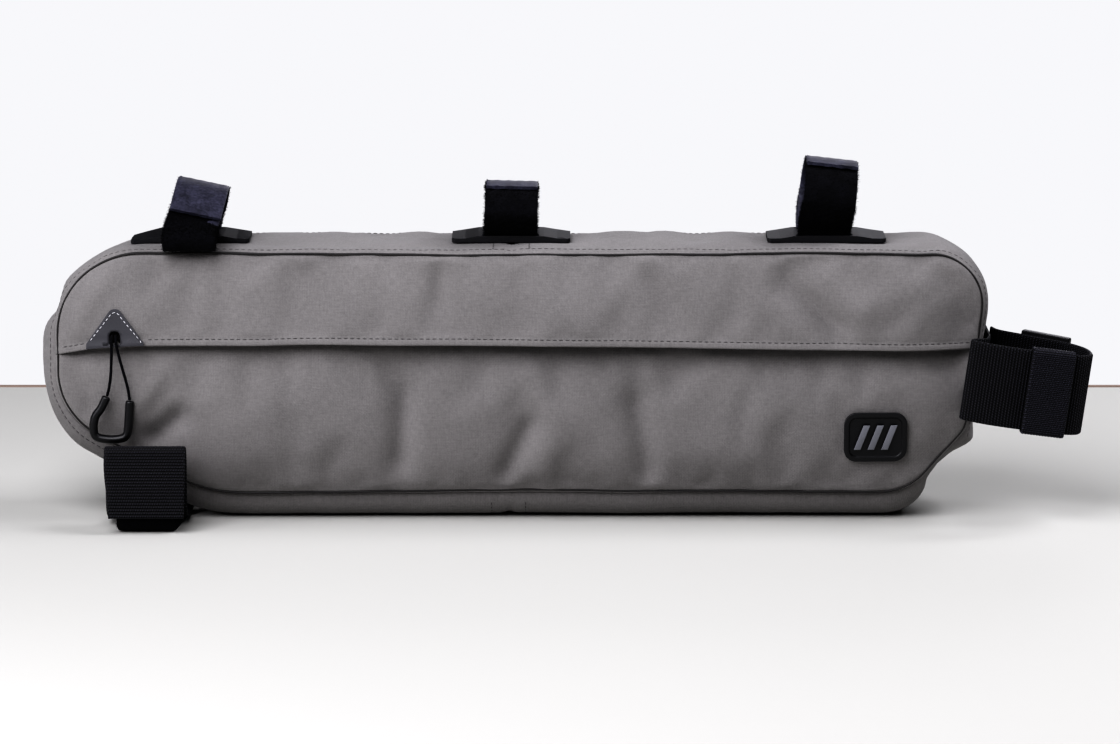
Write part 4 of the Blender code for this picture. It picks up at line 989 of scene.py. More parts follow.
def finish(name):
    """The named finish, made once from the user's colours."""
    found = bpy.data.materials.get(name)
    if found:
        return found
    sizes = bpy.context.scene.frame_bag_sizes
    maker, colour, *values = {
        "coated_canvas": (canvas_material, "canvas", sizes.thread_pitch),
        "slanted_rib_webbing": (webbing_material, "webbing", sizes.rib_pitch),
        "keeper_webbing": (webbing_material, "keeper", KEEPER_YARN_PITCH),
        # Hook tape back: its own smoother face, with its colour made lighter as a painted
        # highlight.
        "hook_tape_back": (tape_material, "strap", 0.48, 900.0, 0.25, 0.1),
        "loop_tape_pile": (tape_material, "fuzz", 0.95, 1100.0, 0.9, 0.02),
        "moulded_nylon": (moulded_material, "moulded", 0.42),
        "soft_garage_rubber": (moulded_material, "garage", 0.55, 1300.0, 0.3),
        "coated_laminate": (moulded_material, "laminate", 0.55, 1100.0, 0.4),
        "black_badge_rubber": (moulded_material, "badge", 0.50),
        "badge_grey_rubber": (moulded_material, "badge_grey", 0.55),
        "dark_thread": (thread_material, "thread"),
        "canvas_thread": (thread_material, "canvas_thread"),
        "light_thread": (thread_material, "light_thread"),
        "studio_floor": (stage_material, "floor", 0.75),
        "floor_edge": (stage_material, "board", 0.8),
    }[name]
    return maker(name, getattr(bpy.context.scene.frame_bag_colours, colour), *values)

# The bag's body

def gusset_places(station, across, half=DEPTH / 2 - WALL - GAP):
    """Places on the gusset's outer face, and its outward directions. station counts round
    the outline and across runs from -1 at the front seam to 1 at the back seam."""
    count = len(FRONT_OUTLINE)
    k = station % count
    mid = (FRONT_OUTLINE + BACK_OUTLINE) / 2
    run = np.roll(mid, -2, axis=0) - np.roll(mid, 2, axis=0)
    out = np.stack([run[:, 1], -run[:, 0]], axis=1)
    out /= np.linalg.norm(out, axis=1)[:, None]
    out = out[k]
    size = (GUSSET_CROWN["top"] * np.maximum(out[:, 1], 0) ** 2
            + GUSSET_CROWN["bottom"] * np.minimum(out[:, 1], 0) ** 2
            + GUSSET_CROWN["right"] * np.maximum(out[:, 0], 0) ** 2
            + GUSSET_CROWN["left"] * np.minimum(out[:, 0], 0) ** 2)
    share = (across[:, None] + 1) / 2
    seam = FRONT_OUTLINE[k] * (1 - share) + BACK_OUTLINE[k] * share
    crown_share = (1 - np.abs(across) ** 4.5) ** 0.75
    inward = (1 - np.abs(across)) * half
    along = np.concatenate([[0.0], np.cumsum(np.linalg.norm(np.diff(mid, axis=0), axis=1))])
    flat = np.stack([along[k], across * half], axis=1)
    rest = 1 - np.maximum(-out[:, 1], 0) ** 2
    for values in TOP_STRAPS:
        patch_x = seam_point(row(TOP_COLUMNS, values)["place"], 1.0).x
        near = ease((PATCH_LENGTH / 2 + 0.010 - np.abs(seam[:, 0] - patch_x)) / 0.008)
        rest *= 1 - (out[:, 1] > 0.7) * near
    relief = (slack_cloth(flat, inward, 31.5) * 0.9 * rest
              + fold_height(seam, GUSSET_FOLDS) * crown_share - turned_in(inward) * 0.8)
    for name in ("bottom_seam", "top_seam"):
        away = np.abs(along[k] - along[STATIONS[name]])
        relief -= 0.0009 * np.exp(-(away / 0.0012) ** 2)
    away = size * crown_share + relief
    place = seam + out * away[:, None]
    places = np.stack([place[:, 0], across * half, np.maximum(place[:, 1], 0.0001)], axis=1)
    outward = np.stack([out[:, 0], np.zeros(len(k)), out[:, 1]], axis=1)
    return places, outward, flat


def gusset_mesh():
    """The gusset: a band of cloth lofted round the outline."""
    count, across = len(FRONT_OUTLINE), 30
    bm = bmesh.new()
    bmesh.ops.create_grid(bm, x_segments=count, y_segments=across, size=1.0)
    bm.verts.index_update()
    flat = np.array([(v.co.x, v.co.y) for v in bm.verts])
    station = np.rint((flat[:, 0] + 1) / 2 * count).astype(int)
    spread = np.sign(flat[:, 1]) * (1 - (1 - np.abs(flat[:, 1])) ** 1.35)
    places, _, cloth = gusset_places(station, spread)
    cloth[station == count, 0] = cloth[:, 0].max() + 0.002
    for v, place in zip(bm.verts, places):
        v.co = place
    set_cloth_uv(bm, cloth)
    bmesh.ops.remove_doubles(bm, verts=bm.verts[:], dist=1e-6)
    bmesh.ops.recalc_face_normals(bm, faces=bm.faces[:])
    bm.normal_update()
    if sum((f.calc_center_median() - Vector((0, 0, 0.07))).dot(f.normal) for f in bm.faces) < 0:
        bmesh.ops.reverse_faces(bm, faces=bm.faces[:])
    return bm


class FRAMEBAG_OT_body(bpy.types.Operator):
    """Makes the canvas panels, the gusset and a dark strip in the seams, painted shade for their
    shadow
    """

    bl_idname = "framebag.body"
    bl_label = "Body"

    def execute(self, context):
        canvas = finish("coated_canvas")
        upper = laid_sheet(clipped(FRONT_OUTLINE, flap_z, True), CELL, EDGE_RINGS,
                           upper_height, True)
        lower = laid_sheet(clipped(FRONT_OUTLINE, lower_top_z, False), CELL, EDGE_RINGS,
                           lower_height, True)
        back = laid_sheet(list(BACK_OUTLINE), CELL, EDGE_RINGS, back_height, False)
        for name, sheet, node, outline in (
                ("flap_panel_canvas", upper, "front_upper_panel", FRONT_OUTLINE),
                ("lower_panel_canvas", lower, "front_lower_panel", FRONT_OUTLINE),
                ("back_panel_canvas", back, "back_panel", BACK_OUTLINE)):
            made = add_piece(name, sheet, canvas, [node])
            flat = np.array([(v.co.x, v.co.z) for v in made.data.vertices])
            held = edge_distance(flat, outline) < 0.0016
            limit = np.full(len(flat), PANEL_LIMIT)
            if node != "back_panel":
                held |= np.abs(flat[:, 1] - flap_z(flat[:, 0])) < 0.0042
                beside = np.maximum(np.abs(flat[:, 0] - BADGE_X) - BADGE_WIDTH / 2,
                                    np.abs(flat[:, 1] - BADGE_Z) - BADGE_HEIGHT / 2)
                held |= beside < 0.001
                limit *= 0.12 + 0.88 * ease((flat[:, 0] - GARAGE_X - 0.012) / 0.035)
            slackened(made, held, PANEL_GROWTH, PANEL_FILLING, limit)
            walled(made)
        made = add_piece("gusset_canvas", gusset_mesh(), canvas,
                         ["gusset_left_half", "gusset_right_half"])
        x, y, z = np.array([tuple(v.co) for v in made.data.vertices]).T
        held = (np.abs(y) > DEPTH / 2 - WALL - GAP - 0.0022) | (z < 0.004)
        limit = GUSSET_LIMIT * ease((z - 0.006) / 0.020)
        for values in TOP_STRAPS:
            patch_x = seam_point(row(TOP_COLUMNS, values)["place"], 1.0).x
            beside = np.maximum(np.abs(x - patch_x) - PATCH_LENGTH / 2, np.abs(y) - PATCH_DEPTH / 2)
            limit *= np.where(z > 0.10, ease(beside / 0.010), 1.0)
        beside = np.maximum(np.abs(z - RIGHT_STRAP_Z) - WEBBING_WIDTH / 2, np.abs(y) - 0.012)
        limit *= np.where(x > 0.20, ease(beside / 0.008), 1.0)
        beside = np.maximum(np.abs(x - LEFT_STRAP_X) - WEBBING_WIDTH / 2 - TAB_SKEW, z - 0.030)
        limit *= ease(beside / 0.010)
        held |= limit < 0.0001
        slackened(made, held, GUSSET_GROWTH, GUSSET_FILLING, np.maximum(limit, 0.0001))
        walled(made)
        # A dark strip laid into each seam: painted shade standing for the seam's shadow.
        for name, outline, side in (("front", FRONT_OUTLINE, -1), ("back", BACK_OUTLINE, 1)):
            y = side * (DEPTH / 2 - 0.0008)
            middle = outline.mean(axis=0)
            inward = (middle - outline) / np.linalg.norm(middle - outline, axis=1)[:, None]
            line = outline + inward * SEAM_SHADOW_INSET
            ring = even_points([(p[0], y, p[1]) for p in line], 0.0025, closed=True)
            sides = np.tile((0.0, 1.0, 0.0), (len(ring), 1))
            shadow_strip = strap_mesh(ring, sides, SEAM_SHADOW_WIDTH, SEAM_SHADOW_THICKNESS, 2, closed=True)
            add_piece(f"{name}_seam_tape", shadow_strip, finish("dark_thread"))
        return {"FINISHED"}


def front_of(name, points):
    """Places on the front face of a finished panel, over flat places in the front view."""
    deps = bpy.context.evaluated_depsgraph_get()
    tree = BVHTree.FromObject(bpy.data.objects[name], deps)
    found = []
    for x, z in points:
        hit = tree.ray_cast(Vector((x, -1, z)), Vector((0, 1, 0)))[0]
        found.append(hit.y if hit else np.nan)
    found = np.array(found)
    known = np.flatnonzero(~np.isnan(found))
    return np.interp(np.arange(len(found)), known, found[known])


class FRAMEBAG_OT_stitching(bpy.types.Operator):
    """Makes the rows of stitches on the flap and the gusset"""

    bl_idname = "framebag.stitching"
    bl_label = "Stitching"

    def execute(self, context):
        sizes = context.scene.frame_bag_sizes
        xs = np.arange(SEAM_LEFT + 0.004, SEAM_RIGHT - 0.003, 0.001)
        flat = np.stack([xs, flap_z(xs) + FLAP_STITCH_ROW], axis=1)
        path = np.stack([xs, front_of("flap_panel_canvas", flat) - 0.00008, flat[:, 1]], axis=1)
        places = stitch_places(path, np.tile((0.0, -1.0, 0.0), (len(path), 1)), sizes.stitch_pitch)
        places = [m for m in places if abs(m.translation.x - GARAGE_X) > GARAGE_WIDTH / 2]
        joined_copies("flap_stitches", stitch_shape(sizes.stitch_length, STITCH_THICKNESS), places,
                      finish("canvas_thread"))
        count = len(FRONT_OUTLINE)
        places = []
        first, last = STATIONS["right_low"], STATIONS["bottom_left"]
        for side in (-1, 1):
            stations = np.arange(first, last)
            across = np.full(len(stations), side * (1 - GUSSET_STITCH_ROW / (DEPTH / 2)))
            path, outward, _ = gusset_places(stations, across)
            tilted = outward * 0.8 + np.array((0.0, side * 0.6, 0.0))
            places += stitch_places(path, tilted, sizes.stitch_pitch)
        for name in ("top_seam", "bottom_seam"):
            for shift in (-2, 2):
                across = np.linspace(-0.93, 0.93, 60)
                stations = np.full(60, STATIONS[name] + shift + count)
                path, outward, _ = gusset_places(stations, across)
                places += stitch_places(path, outward, sizes.stitch_pitch)
        joined_copies("gusset_stitches", stitch_shape(sizes.stitch_length, STITCH_THICKNESS),
                      places, finish("canvas_thread"))
        return {"FINISHED"}


def garage_polygon():
    """The garage patch's outline: a triangle with a round top, on the flap's edge."""
    half = GARAGE_WIDTH / 2
    points = [np.array((GARAGE_X + half * s, float(flap_z(GARAGE_X + half * s)) + 0.0005))
              for s in (-1.0, -0.5, 0.0, 0.5, 1.0)]
    edge = float(flap_z(GARAGE_X)) + 0.0005
    points.append(np.array((GARAGE_X + half, edge + 0.0022)))
    for k in range(9):
        turn = math.radians(30 + 15 * k)
        points.append(np.array((GARAGE_X + 0.0036 * math.cos(turn),
                                edge + GARAGE_HEIGHT - 0.0036 + 0.0036 * math.sin(turn))))
    points.append(np.array((GARAGE_X - half, edge + 0.0011)))
    return points


def keyhole_cutter():
    """A solid with the keyhole's arched outline, which cuts the garage and the flap."""
    half = KEYHOLE_WIDTH / 2
    low = float(flap_z(GARAGE_X)) + KEYHOLE_RISE
    spring = low + KEYHOLE_HEIGHT - half
    outline = [(GARAGE_X - half, low), (GARAGE_X + half, low)]
    outline += [(GARAGE_X + half * math.cos(t), spring + half * math.sin(t))
                for t in np.linspace(0, math.pi, 13)]
    bm = bmesh.new()
    face = bm.faces.new([bm.verts.new((x, -DEPTH, z)) for x, z in outline])
    grown = bmesh.ops.extrude_face_region(bm, geom=[face])["geom"]
    bmesh.ops.translate(bm, vec=(0, DEPTH * 0.75, 0),
                        verts=[v for v in grown if isinstance(v, bmesh.types.BMVert)])
    bmesh.ops.recalc_face_normals(bm, faces=bm.faces[:])
    mesh = bpy.data.meshes.new("keyhole_cutter")
    bm.to_mesh(mesh)
    bm.free()
    made = bpy.data.objects.new("keyhole_cutter", mesh)
    bpy.context.scene.collection.objects.link(made)
    return made


class FRAMEBAG_OT_zip(bpy.types.Operator):
    """Makes the zip garage with its keyhole and edge stitches, and finishes the zip"""

    bl_idname = "framebag.zip"
    bl_label = "Zip and garage"

    def execute(self, context):
        sizes = context.scene.frame_bag_sizes
        rings = (0.0003, 0.0004, 0.0006)
        garage = laid_sheet(garage_polygon(), 0.0020, rings, upper_height, True,
                            lambda p: np.full(len(p), 0.0005 + 0.0012))
        made = add_piece("garage_patch", garage, finish("soft_garage_rubber"),
                         ["zip_garage"], 0.0012)
        bevel = made.modifiers.new("soft_edge", "BEVEL")
        bevel.width, bevel.segments, bevel.limit_method = 0.0003, 2, "ANGLE"
        cutter = keyhole_cutter()
        for piece in (made, bpy.data.objects["flap_panel_canvas"]):
            hole = piece.modifiers.new("keyhole", "BOOLEAN")
            hole.operation, hole.object, hole.solver = "DIFFERENCE", cutter, "EXACT"
            settle(piece)
        bpy.data.objects.remove(cutter, do_unlink=True)
        outline = garage_polygon()
        centre = np.mean(outline, axis=0)
        line = even_points([p + (centre - p) / np.linalg.norm(centre - p) * 0.0017
                            for p in outline[4:]], 0.0004)
        heights = upper_height(line) + 0.00175
        path = np.stack([line[:, 0], -heights, line[:, 1]], axis=1)
        places = stitch_places(path, np.tile((0.0, -1.0, 0.0), (len(path), 1)),
                               sizes.stitch_pitch * 0.8)
        joined_copies("garage_stitches", stitch_shape(sizes.stitch_length * 0.8, 0.0004), places,
                      finish("light_thread"))
        xs = np.linspace(SEAM_LEFT + ZIP_END_MARGIN, SEAM_RIGHT - ZIP_END_MARGIN, 120)
        band = [(x, float(flap_z(x)) + FLAP_OVERLAP + GAP) for x in xs]
        band += [(x, float(flap_z(x)) + ZIP_TAPE_ABOVE) for x in xs[::-1]]
        tape = laid_sheet(band, CELL, (), tape_height, True)
        add_piece("zip_tape_strip", tape, finish("hook_tape_back"), ["zip_tape"],
                  ZIP_TAPE_THICKNESS)
        for name in ("zip_coil", "zip_slider"):
            refinish(name, "moulded_nylon")
        return {"FINISHED"}


def refinish(name, material, bevel=0.0):
    """A carried-over solid with its finish, and a softened edge where it has one."""
    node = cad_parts[name]
    node.data.materials.clear()
    node.data.materials.append(finish(material))
    if bevel:
        weld = node.modifiers.new("joined_faces", "WELD")
        weld.merge_threshold = 0.00002
        soft = node.modifiers.new("soft_edge", "BEVEL")
        soft.width, soft.segments, soft.limit_method = bevel, 3, "ANGLE"
        soft.angle_limit = math.radians(40)
        soft.harden_normals = False
    return node


class FRAMEBAG_OT_pull(bpy.types.Operator):
    """Makes the zip's pull cord and its moulded grip"""

    bl_idname = "framebag.pull"
    bl_label = "Pull cord and grip"

    def execute(self, context):
        grip_path = smooth_path([Vector(p) for p in GRIP_ROUTE], 8)
        grip_line = even_points(grip_path, 0.0010)
        sides = np.tile((0.0, 1.0, 0.0), (len(grip_line), 1))
        grip = strap_mesh(grip_line, sides, GRIP_DIAMETER, GRIP_DIAMETER * 0.92, 2)
        made = add_piece("pull_grip_moulding", grip, finish("moulded_nylon"),
                         ["pull_grip"])
        smooth = made.modifiers.new("rounded", "SUBSURF")
        smooth.levels = smooth.render_levels = 1
        for side, route in CORD_ROUTES.items():
            path = smooth_path([Vector(p) for p in route], 4)
            curve = bpy.data.curves.new(f"pull_cord_{side}_braid", "CURVE")
            curve.dimensions = "3D"
            curve.bevel_depth = CORD_DIAMETER / 2
            curve.bevel_resolution = 3
            curve.use_fill_caps = True
            spline = curve.splines.new("POLY")
            spline.points.add(len(path) - 1)
            for point, place in zip(spline.points, path):
                point.co = (*place, 1.0)
            spline.use_smooth = True
            curve.materials.append(finish("loop_tape_pile"))
            cord = bpy.data.objects.new(f"pull_cord_{side}_braid", curve)
            context.scene.collection.objects.link(cord)
            placed(cord, [f"pull_cord_{side}"])
        return {"FINISHED"}


def loop_path(r, loop_x, base):
    """A top strap's path in its own plane, with the run through the patch's slots, and how
    far it leans at each point."""
    front = [Vector((0, y * LOOP_DEPTH, h * r["height"])) for y, h in r["front"]]
    back = [Vector((0, y * LOOP_DEPTH, h * r["height"])) for y, h in r["back"]][:r["end_points"]]
    low = GAP + LOOP_THICKNESS / 2
    top = PATCH_THICKNESS + PATCH_BRIDGE
    reach, turn = SLOT_SPACING / 2, LOOP_THICKNESS
    through = [Vector((0, -reach, top + turn / 2)), Vector((0, -reach + turn / 4, low + turn / 2)),
               Vector((0, -reach + turn, low)), Vector((0, reach - turn, low)),
               Vector((0, reach - turn / 4, low + turn / 2)), Vector((0, reach, top + turn / 2))]
    path = smooth_path(front + through[:3], 8)[:-1] + smooth_path(through[2:] + back, 8)
    lean = math.radians(r["lean"])
    leaned = []
    for p in path:
        share = float(ease((p.z - top) / r["height"] * 2))
        shift = math.tan(lean) * max(p.z - top, 0) * share
        leaned.append((*(p + Vector((loop_x + shift, 0, base))), lean * share))
    return leaned


def fuzz_places(pile, length, seed, count):
    """Matrices for short fibres that stand out of a pile at random slants. pile holds
    places with their outward directions."""
    rng = np.random.default_rng(seed)
    picks = rng.integers(0, len(pile), count)
    places = []
    for point, normal in (map(Vector, pile[i]) for i in picks):
        out = normal + Vector(rng.normal(0, 0.75, 3))
        out.normalize()
        side = out.orthogonal().normalized()
        size = length * rng.uniform(0.35, 1.0)
        turned = Matrix((side, out.cross(side), out)).transposed()
        jitter = Vector(rng.normal(0, 0.0004, 3))
        jitter -= normal * jitter.dot(normal)
        scaled = turned @ Matrix.Diagonal((0.00009, 0.00009, size))
        places.append(Matrix.Translation(point + jitter) @ scaled.to_4x4())
    return places

def fibre_shape():
    """One fibre: a thin open cone of unit length."""
    bm = bmesh.new()
    bmesh.ops.create_cone(bm, cap_ends=False, segments=3, radius1=1.0, radius2=0.3, depth=1.0)
    bmesh.ops.translate(bm, vec=(0, 0, 0.5), verts=bm.verts[:])
    return bm


class FRAMEBAG_OT_top_straps(bpy.types.Operator):
    """Makes the three hook-and-loop straps with their pile, and finishes their patches"""

    bl_idname = "framebag.top_straps"
    bl_label = "Top straps"

    def execute(self, context):
        sizes = context.scene.frame_bag_sizes
        ground = tree_of_nodes("gusset_left_half", "gusset_right_half")
        for k, values in enumerate(TOP_STRAPS):
            r = row(TOP_COLUMNS, values)
            name = r["name"]
            loop_x = seam_point(r["place"], 1.0).x + r["shift"] * PATCH_LENGTH
            base = ground.ray_cast(Vector((loop_x, 0, 1)), Vector((0, 0, -1)))[0].z
            path = loop_path(r, loop_x, base)
            line = even_points(path, 0.0011)
            tilt = line[:, 3]
            sides = np.stack([np.cos(tilt), np.zeros(len(tilt)), -np.sin(tilt)], axis=1)
            points = line[:, :3]
            uneven = lambda s, a: 0.00012 * np.sin(s * 2100 + a * 900) + 0.0001 * np.sin(a * 2600)
            bm = strap_mesh(points, sides, LOOP_WIDTH, LOOP_THICKNESS, 14, uneven)
            bm.normal_update()
            bm.verts.ensure_lookup_table()
            for face in bm.faces:
                middle = face.calc_center_median()
                near = int(np.argmin(np.linalg.norm(points - np.array(middle), axis=1)))
                face.material_index = 0 if near < len(points) * 0.45 else 1
            pile = [(tuple(v.co), tuple(v.normal)) for v in bm.verts
                    if any(f.material_index == 0 for f in v.link_faces)]
            edge = [(tuple(v.co), tuple(v.normal)) for v in bm.verts
                    if all(f.material_index == 1 for f in v.link_faces) and abs(v.normal.x) > 0.6]
            add_piece(f"top_strap_{name}", bm, [finish("loop_tape_pile"), finish("hook_tape_back")],
                      [f"top_loop_{name}"])
            places = fuzz_places(pile, sizes.fuzz_length, 10 + k, PILE_FIBRES)
            places += fuzz_places(edge, sizes.fuzz_length * 0.6, 20 + k, EDGE_FIBRES)
            joined_copies(f"top_strap_{name}_pile", fibre_shape(), places, finish("loop_tape_pile"))
            refinish(f"top_patch_{name}", "coated_laminate", 0.0004)
        return {"FINISHED"}


def rib_relief(pitch, height):
    """Rows of round ribs across a webbing."""
    return lambda s, a: height * (np.abs(np.cos(math.pi * s / pitch)) - 0.5)


class FRAMEBAG_OT_left_strap(bpy.types.Operator):
    """Makes the ribbed strap at the lower left and the tab inside it"""

    bl_idname = "framebag.left_strap"
    bl_label = "Left strap"

    def execute(self, context):
        sizes = context.scene.frame_bag_sizes
        scaled = lambda path: [Vector((LEFT_STRAP_X, y * LEFT_STRAP_REACH, z * LEFT_STRAP_HEIGHT))
                               for y, z in path]
        line = even_points(smooth_path(scaled(LEFT_WEBBING_PATH), 12), sizes.rib_pitch / 5)
        hang = ease((np.arange(len(line)) / len(line) - 0.70) / 0.30)
        line[:, 0] += 0.0010 * hang
        sides = np.tile((1.0, 0.0, 0.0), (len(line), 1)) * (1 - 0.07 * hang)[:, None]
        bm = strap_mesh(line, sides, WEBBING_WIDTH, WEBBING_THICKNESS - sizes.rib_height, 24,
                        rib_relief(sizes.rib_pitch, sizes.rib_height))
        add_piece("left_strap_webbing", bm, finish("slanted_rib_webbing"),
                  ["left_webbing_strap"])
        tab = scaled(LEFT_TAB_PATH)
        tab = [p + Vector((TAB_SKEW * (1 + p.y / LEFT_STRAP_REACH), 0, 0)) for p in tab]
        ground = tree_of_nodes("gusset_left_half", "gusset_right_half")
        seats = [ground.ray_cast(Vector((tab[0].x + TAB_WIDTH * s, tab[0].y, -1)),
                                 Vector((0, 0, 1)))[0].z for s in (-0.5, 0.0, 0.5)]
        tab[0].z = min(seats) - GAP - TAB_THICKNESS / 2
        line = even_points(smooth_path(tab, 12), 0.0011)
        sides = np.tile((1.0, 0.0, 0.0), (len(line), 1))
        uneven = lambda s, a: 0.0001 * np.sin(s * 2300 + a * 1100)
        bm = strap_mesh(line, sides, TAB_WIDTH, TAB_THICKNESS, 14, uneven)
        pile = [(tuple(v.co), tuple(v.normal)) for v in bm.verts if v.co.z > TAB_PILE_ABOVE]
        add_piece("left_strap_tab", bm, finish("loop_tape_pile"),
                  ["left_loop_tab"])
        places = fuzz_places(pile, sizes.fuzz_length * 0.6, 5, TAB_FIBRES)
        joined_copies("left_strap_tab_pile", fibre_shape(), places, finish("loop_tape_pile"))
        return {"FINISHED"}


def bag_end_x(z):
    """Where the gusset's right end is at a height."""
    near = FRONT_OUTLINE[FRONT_OUTLINE[:, 0] > 0.4 * SEAM_LENGTH]
    near = near[np.argsort(near[:, 1])]
    return float(np.interp(z, near[:, 1], near[:, 0])) + GUSSET_CROWN["right"]


class FRAMEBAG_OT_right_strap(bpy.types.Operator):
    """Makes the ribbed loop at the right end and its keeper, and finishes its buckle"""

    bl_idname = "framebag.right_strap"
    bl_label = "Right strap"

    def execute(self, context):
        sizes = context.scene.frame_bag_sizes
        root = Vector((bag_end_x(RIGHT_STRAP_Z), 0, RIGHT_STRAP_Z))
        turn = Matrix.Translation(root) @ Matrix.Rotation(RIGHT_STRAP_DROOP, 4, "Y")
        chosen = [Vector((x * RIGHT_STRAP_LENGTH, y * RIGHT_STRAP_DEPTH, 0)) for x, y in RIGHT_PATH]
        path = smooth_path(chosen, 12)
        line = even_points([turn @ p for p in path], sizes.rib_pitch / 5)
        up = np.array(turn.to_3x3() @ Vector((0, 0, 1)))
        bm = strap_mesh(line, np.tile(up, (len(line), 1)), WEBBING_WIDTH,
                        WEBBING_THICKNESS - sizes.rib_height, 22,
                        rib_relief(sizes.rib_pitch, sizes.rib_height))
        add_piece("right_strap_webbing", bm, finish("slanted_rib_webbing"),
                  ["right_webbing_strap"])
        coarse = smooth_path(chosen, 2)
        middle = coarse[2 * 7 + 1]
        front = smooth_path(chosen[7:9], 2)
        along = (front[-1] - front[0]).normalized()
        out = Vector((along.y, -along.x, 0))
        room = WEBBING_THICKNESS / 2 + KEEPER_ROOM / 2 + KEEPER_THICKNESS / 2
        half = WEBBING_WIDTH / 2 + GAP + KEEPER_THICKNESS / 2
        ring = []
        for t in np.linspace(0, 2 * math.pi, 97)[:-1]:
            c, s = math.cos(t), math.sin(t)
            deep = math.copysign(abs(c) ** 0.3, c) * room
            tall = math.copysign(abs(s) ** 0.12, s) * half
            ring.append(turn @ (middle + out * deep + Vector((0, 0, tall))))
        line = even_points(ring, 0.0009, closed=True)
        width = np.array(turn.to_3x3() @ along)
        weave = lambda s, a: 0.00010 * np.sin(2 * math.pi * a / 0.0014)
        bm = strap_mesh(line, np.tile(width, (len(line), 1)), KEEPER_WIDTH, KEEPER_THICKNESS, 48,
                        weave, closed=True)
        add_piece("strap_keeper_band", bm, finish("keeper_webbing"),
                  ["strap_keeper"])
        refinish("strap_buckle", "moulded_nylon", 0.0008)
        return {"FINISHED"}


def rounded_rectangle(x, z, width, height, corner, steps):
    """A rectangle with round corners, as a polygon."""
    points = []
    for sx, sz, first in ((1, 1, 0), (-1, 1, 90), (-1, -1, 180), (1, -1, 270)):
        for k in range(steps + 1):
            t = math.radians(first + 90 * k / steps)
            points.append((x + sx * (width / 2 - corner) + corner * math.cos(t),
                           z + sz * (height / 2 - corner) + corner * math.sin(t)))
    return points


def raised_pad(polygon, thickness, rim, dish, soft, seat):
    """A moulded pad on the lower panel: an extruded outline with a rim and a sunk middle."""
    bm = bmesh.new()
    face = bm.faces.new([bm.verts.new((x, 0.0, z)) for x, z in polygon])
    grown = bmesh.ops.extrude_face_region(bm, geom=[face])["geom"]
    top = next(g for g in grown if isinstance(g, bmesh.types.BMFace))
    bmesh.ops.translate(bm, vec=(0, -thickness, 0), verts=top.verts[:])
    if rim:
        bmesh.ops.inset_region(bm, faces=[top], thickness=rim, use_even_offset=True)
        bmesh.ops.inset_region(bm, faces=[top], thickness=thickness / 4, use_even_offset=True)
        bmesh.ops.translate(bm, vec=(0, thickness - dish, 0), verts=top.verts[:])
    bmesh.ops.recalc_face_normals(bm, faces=bm.faces[:])
    sharp = [e for e in bm.edges if len(e.link_faces) == 2 and e.calc_face_angle() > 0.6]
    bmesh.ops.bevel(bm, geom=sharp, offset=soft, segments=3, profile=0.5,
                    affect="EDGES", material=-1)
    points = np.array([(v.co.x, v.co.z) for v in bm.verts])
    for v, face in zip(bm.verts, front_of("lower_panel_canvas", points)):
        v.co.y += face - seat
    return bm


class FRAMEBAG_OT_badge(bpy.types.Operator):
    """Makes the plain rubber badge with its rim and three bars"""

    bl_idname = "framebag.badge"
    bl_label = "Badge"

    def execute(self, context):
        outline = rounded_rectangle(BADGE_X, BADGE_Z, BADGE_WIDTH, BADGE_HEIGHT, BADGE_CORNER, 8)
        plate = raised_pad(outline, BADGE_THICKNESS, BADGE_RIM, BADGE_DISH, 0.0003, BADGE_SINK)
        add_piece("badge_rubber_plate", plate, finish("black_badge_rubber"),
                  ["badge_plate"])
        for k in range(3):
            x = BADGE_X + (k - 1) * BADGE_BAR_SPACING
            half, lean, tall = BADGE_BAR_WIDTH / 2, BADGE_BAR_LEAN / 2, BADGE_BAR_HEIGHT / 2
            corners = [(x - half - lean, BADGE_Z - tall), (x + half - lean, BADGE_Z - tall),
                       (x + half + lean, BADGE_Z + tall), (x - half + lean, BADGE_Z + tall)]
            bar = raised_pad(corners, BADGE_BAR_THICKNESS, 0, 0, 0.0002,
                             BADGE_SINK + BADGE_DISH + GAP)
            add_piece(f"badge_grey_bar_{k + 1}", bar, finish("badge_grey_rubber"),
                      [f"badge_bar_{k + 1}"])
        return {"FINISHED"}


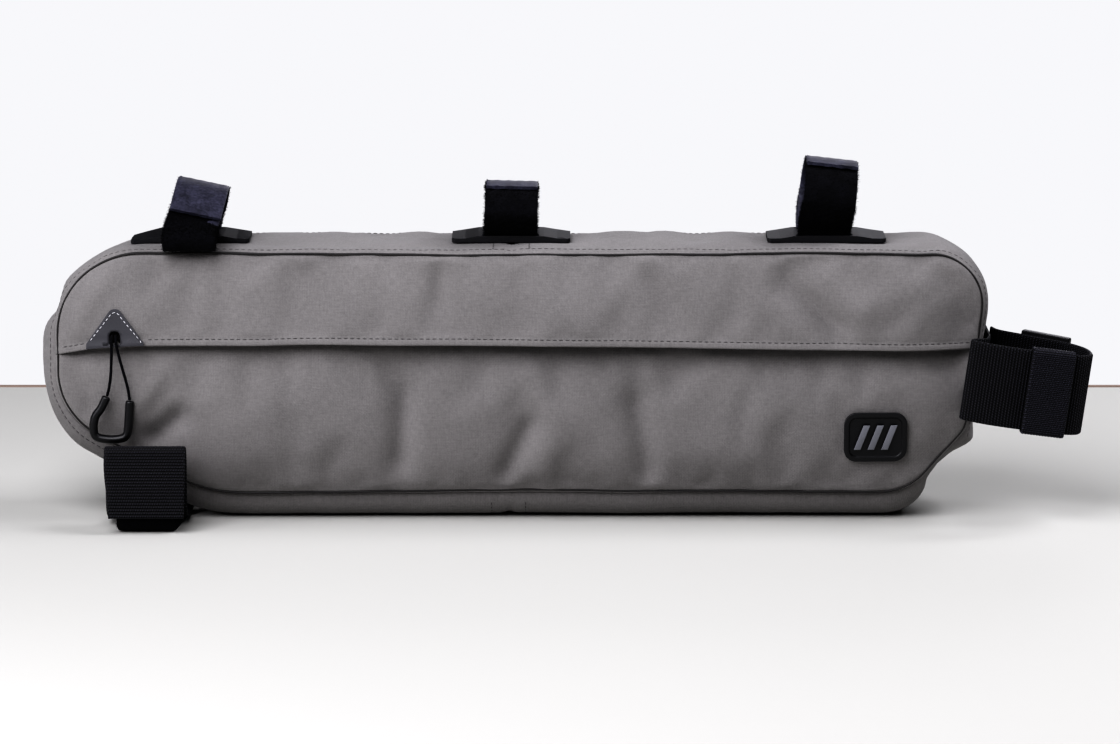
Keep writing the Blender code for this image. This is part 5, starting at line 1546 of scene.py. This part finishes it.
class FRAMEBAG_OT_stage(bpy.types.Operator):
    """Makes the camera, the pale floor, the backdrop and the soft lights"""

    bl_idname = "framebag.stage"
    bl_label = "Studio"

    def execute(self, context):
        scene = context.scene
        distance = scene.frame_bag_sizes.camera_distance
        ahead = Vector((0, math.cos(CAMERA_RISE), -math.sin(CAMERA_RISE)))
        lens = bpy.data.cameras.new("photo_camera")
        lens.sensor_width = SENSOR_WIDTH
        lens.lens = SENSOR_WIDTH * distance / VIEW_WIDTH
        lens.clip_start, lens.clip_end = 0.05, 50.0
        camera = bpy.data.objects.new("photo_camera", lens)
        camera.location = Vector(CAMERA_TARGET) - ahead * distance
        camera.rotation_euler = (math.pi / 2 - CAMERA_RISE, 0, 0)
        scene.collection.objects.link(camera)
        scene.camera = camera
        for name, middle, size in BOARDS:
            bm = bmesh.new()
            bmesh.ops.create_cube(bm, size=1.0)
            sized = Matrix.Translation(middle) @ Matrix.Diagonal((*size, 1.0))
            bmesh.ops.transform(bm, matrix=sized, verts=bm.verts[:])
            mesh = bpy.data.meshes.new(name)
            bm.to_mesh(mesh)
            bm.free()
            mesh.materials.append(finish(name))
            made = bpy.data.objects.new(name, mesh)
            scene.collection.objects.link(made)
        for name, place, target, size, power in LIGHTS:
            light = bpy.data.lights.new(name, "AREA")
            light.shape, light.size, light.energy = "SQUARE", size, power
            light.color = (0.96, 0.95, 1.0)
            made = bpy.data.objects.new(name, light)
            made.location = place
            facing = Vector(target) - Vector(place)
            made.rotation_euler = facing.to_track_quat("-Z", "Y").to_euler()
            scene.collection.objects.link(made)
        world = bpy.data.worlds.new("studio_world")
        world.use_nodes = True
        tree = world.node_tree
        dim = tree.nodes["Background"]
        dim.inputs["Color"].default_value = (0.97, 0.98, 1.0, 1.0)
        dim.inputs["Strength"].default_value = 0.06
        backdrop = add_node(tree, "ShaderNodeBackground", {"Color": tuple(
            scene.frame_bag_colours.backdrop), "Strength": 1.0})
        seen = add_node(tree, "ShaderNodeLightPath").outputs["Is Camera Ray"]
        mixed = add_node(tree, "ShaderNodeMixShader", {0: seen, 1: dim.outputs[0],
                                                       2: backdrop.outputs[0]})
        tree.links.new(mixed.outputs[0], tree.nodes["World Output"].inputs["Surface"])
        scene.world = world
        scene.view_settings.view_transform = "Standard"
        scene.view_settings.look = "Very High Contrast"
        return {"FINISHED"}


OPERATORS = (FRAMEBAG_OT_stage, FRAMEBAG_OT_pull, FRAMEBAG_OT_body, FRAMEBAG_OT_stitching,
             FRAMEBAG_OT_zip, FRAMEBAG_OT_top_straps, FRAMEBAG_OT_left_strap,
             FRAMEBAG_OT_right_strap, FRAMEBAG_OT_badge)


class FRAMEBAG_PT_pieces(bpy.types.Panel):
    """Lists the bag's pieces and their settings"""

    bl_label = "Frame bag"
    bl_idname = "FRAMEBAG_PT_pieces"
    bl_space_type = "VIEW_3D"
    bl_region_type = "UI"
    bl_category = "Frame bag"

    def draw(self, context):
        for operator in OPERATORS:
            self.layout.operator(operator.bl_idname)
        for group in (context.scene.frame_bag_sizes, context.scene.frame_bag_colours):
            for name in group.__annotations__:
                self.layout.prop(group, name)


CLASSES = (FrameBagSizes, FrameBagColours, *OPERATORS, FRAMEBAG_PT_pieces)


def register():
    for each in CLASSES:
        bpy.utils.register_class(each)
    bpy.types.Scene.frame_bag_sizes = bpy.props.PointerProperty(type=FrameBagSizes)
    bpy.types.Scene.frame_bag_colours = bpy.props.PointerProperty(type=FrameBagColours)


def unregister():
    del bpy.types.Scene.frame_bag_sizes
    del bpy.types.Scene.frame_bag_colours
    for each in reversed(CLASSES):
        bpy.utils.unregister_class(each)


def main():
    """Makes every piece in order."""
    register()
    for operator in OPERATORS:
        group, name = operator.bl_idname.split(".")
        getattr(getattr(bpy.ops, group), name)()


if __name__ == "__main__":
    main()
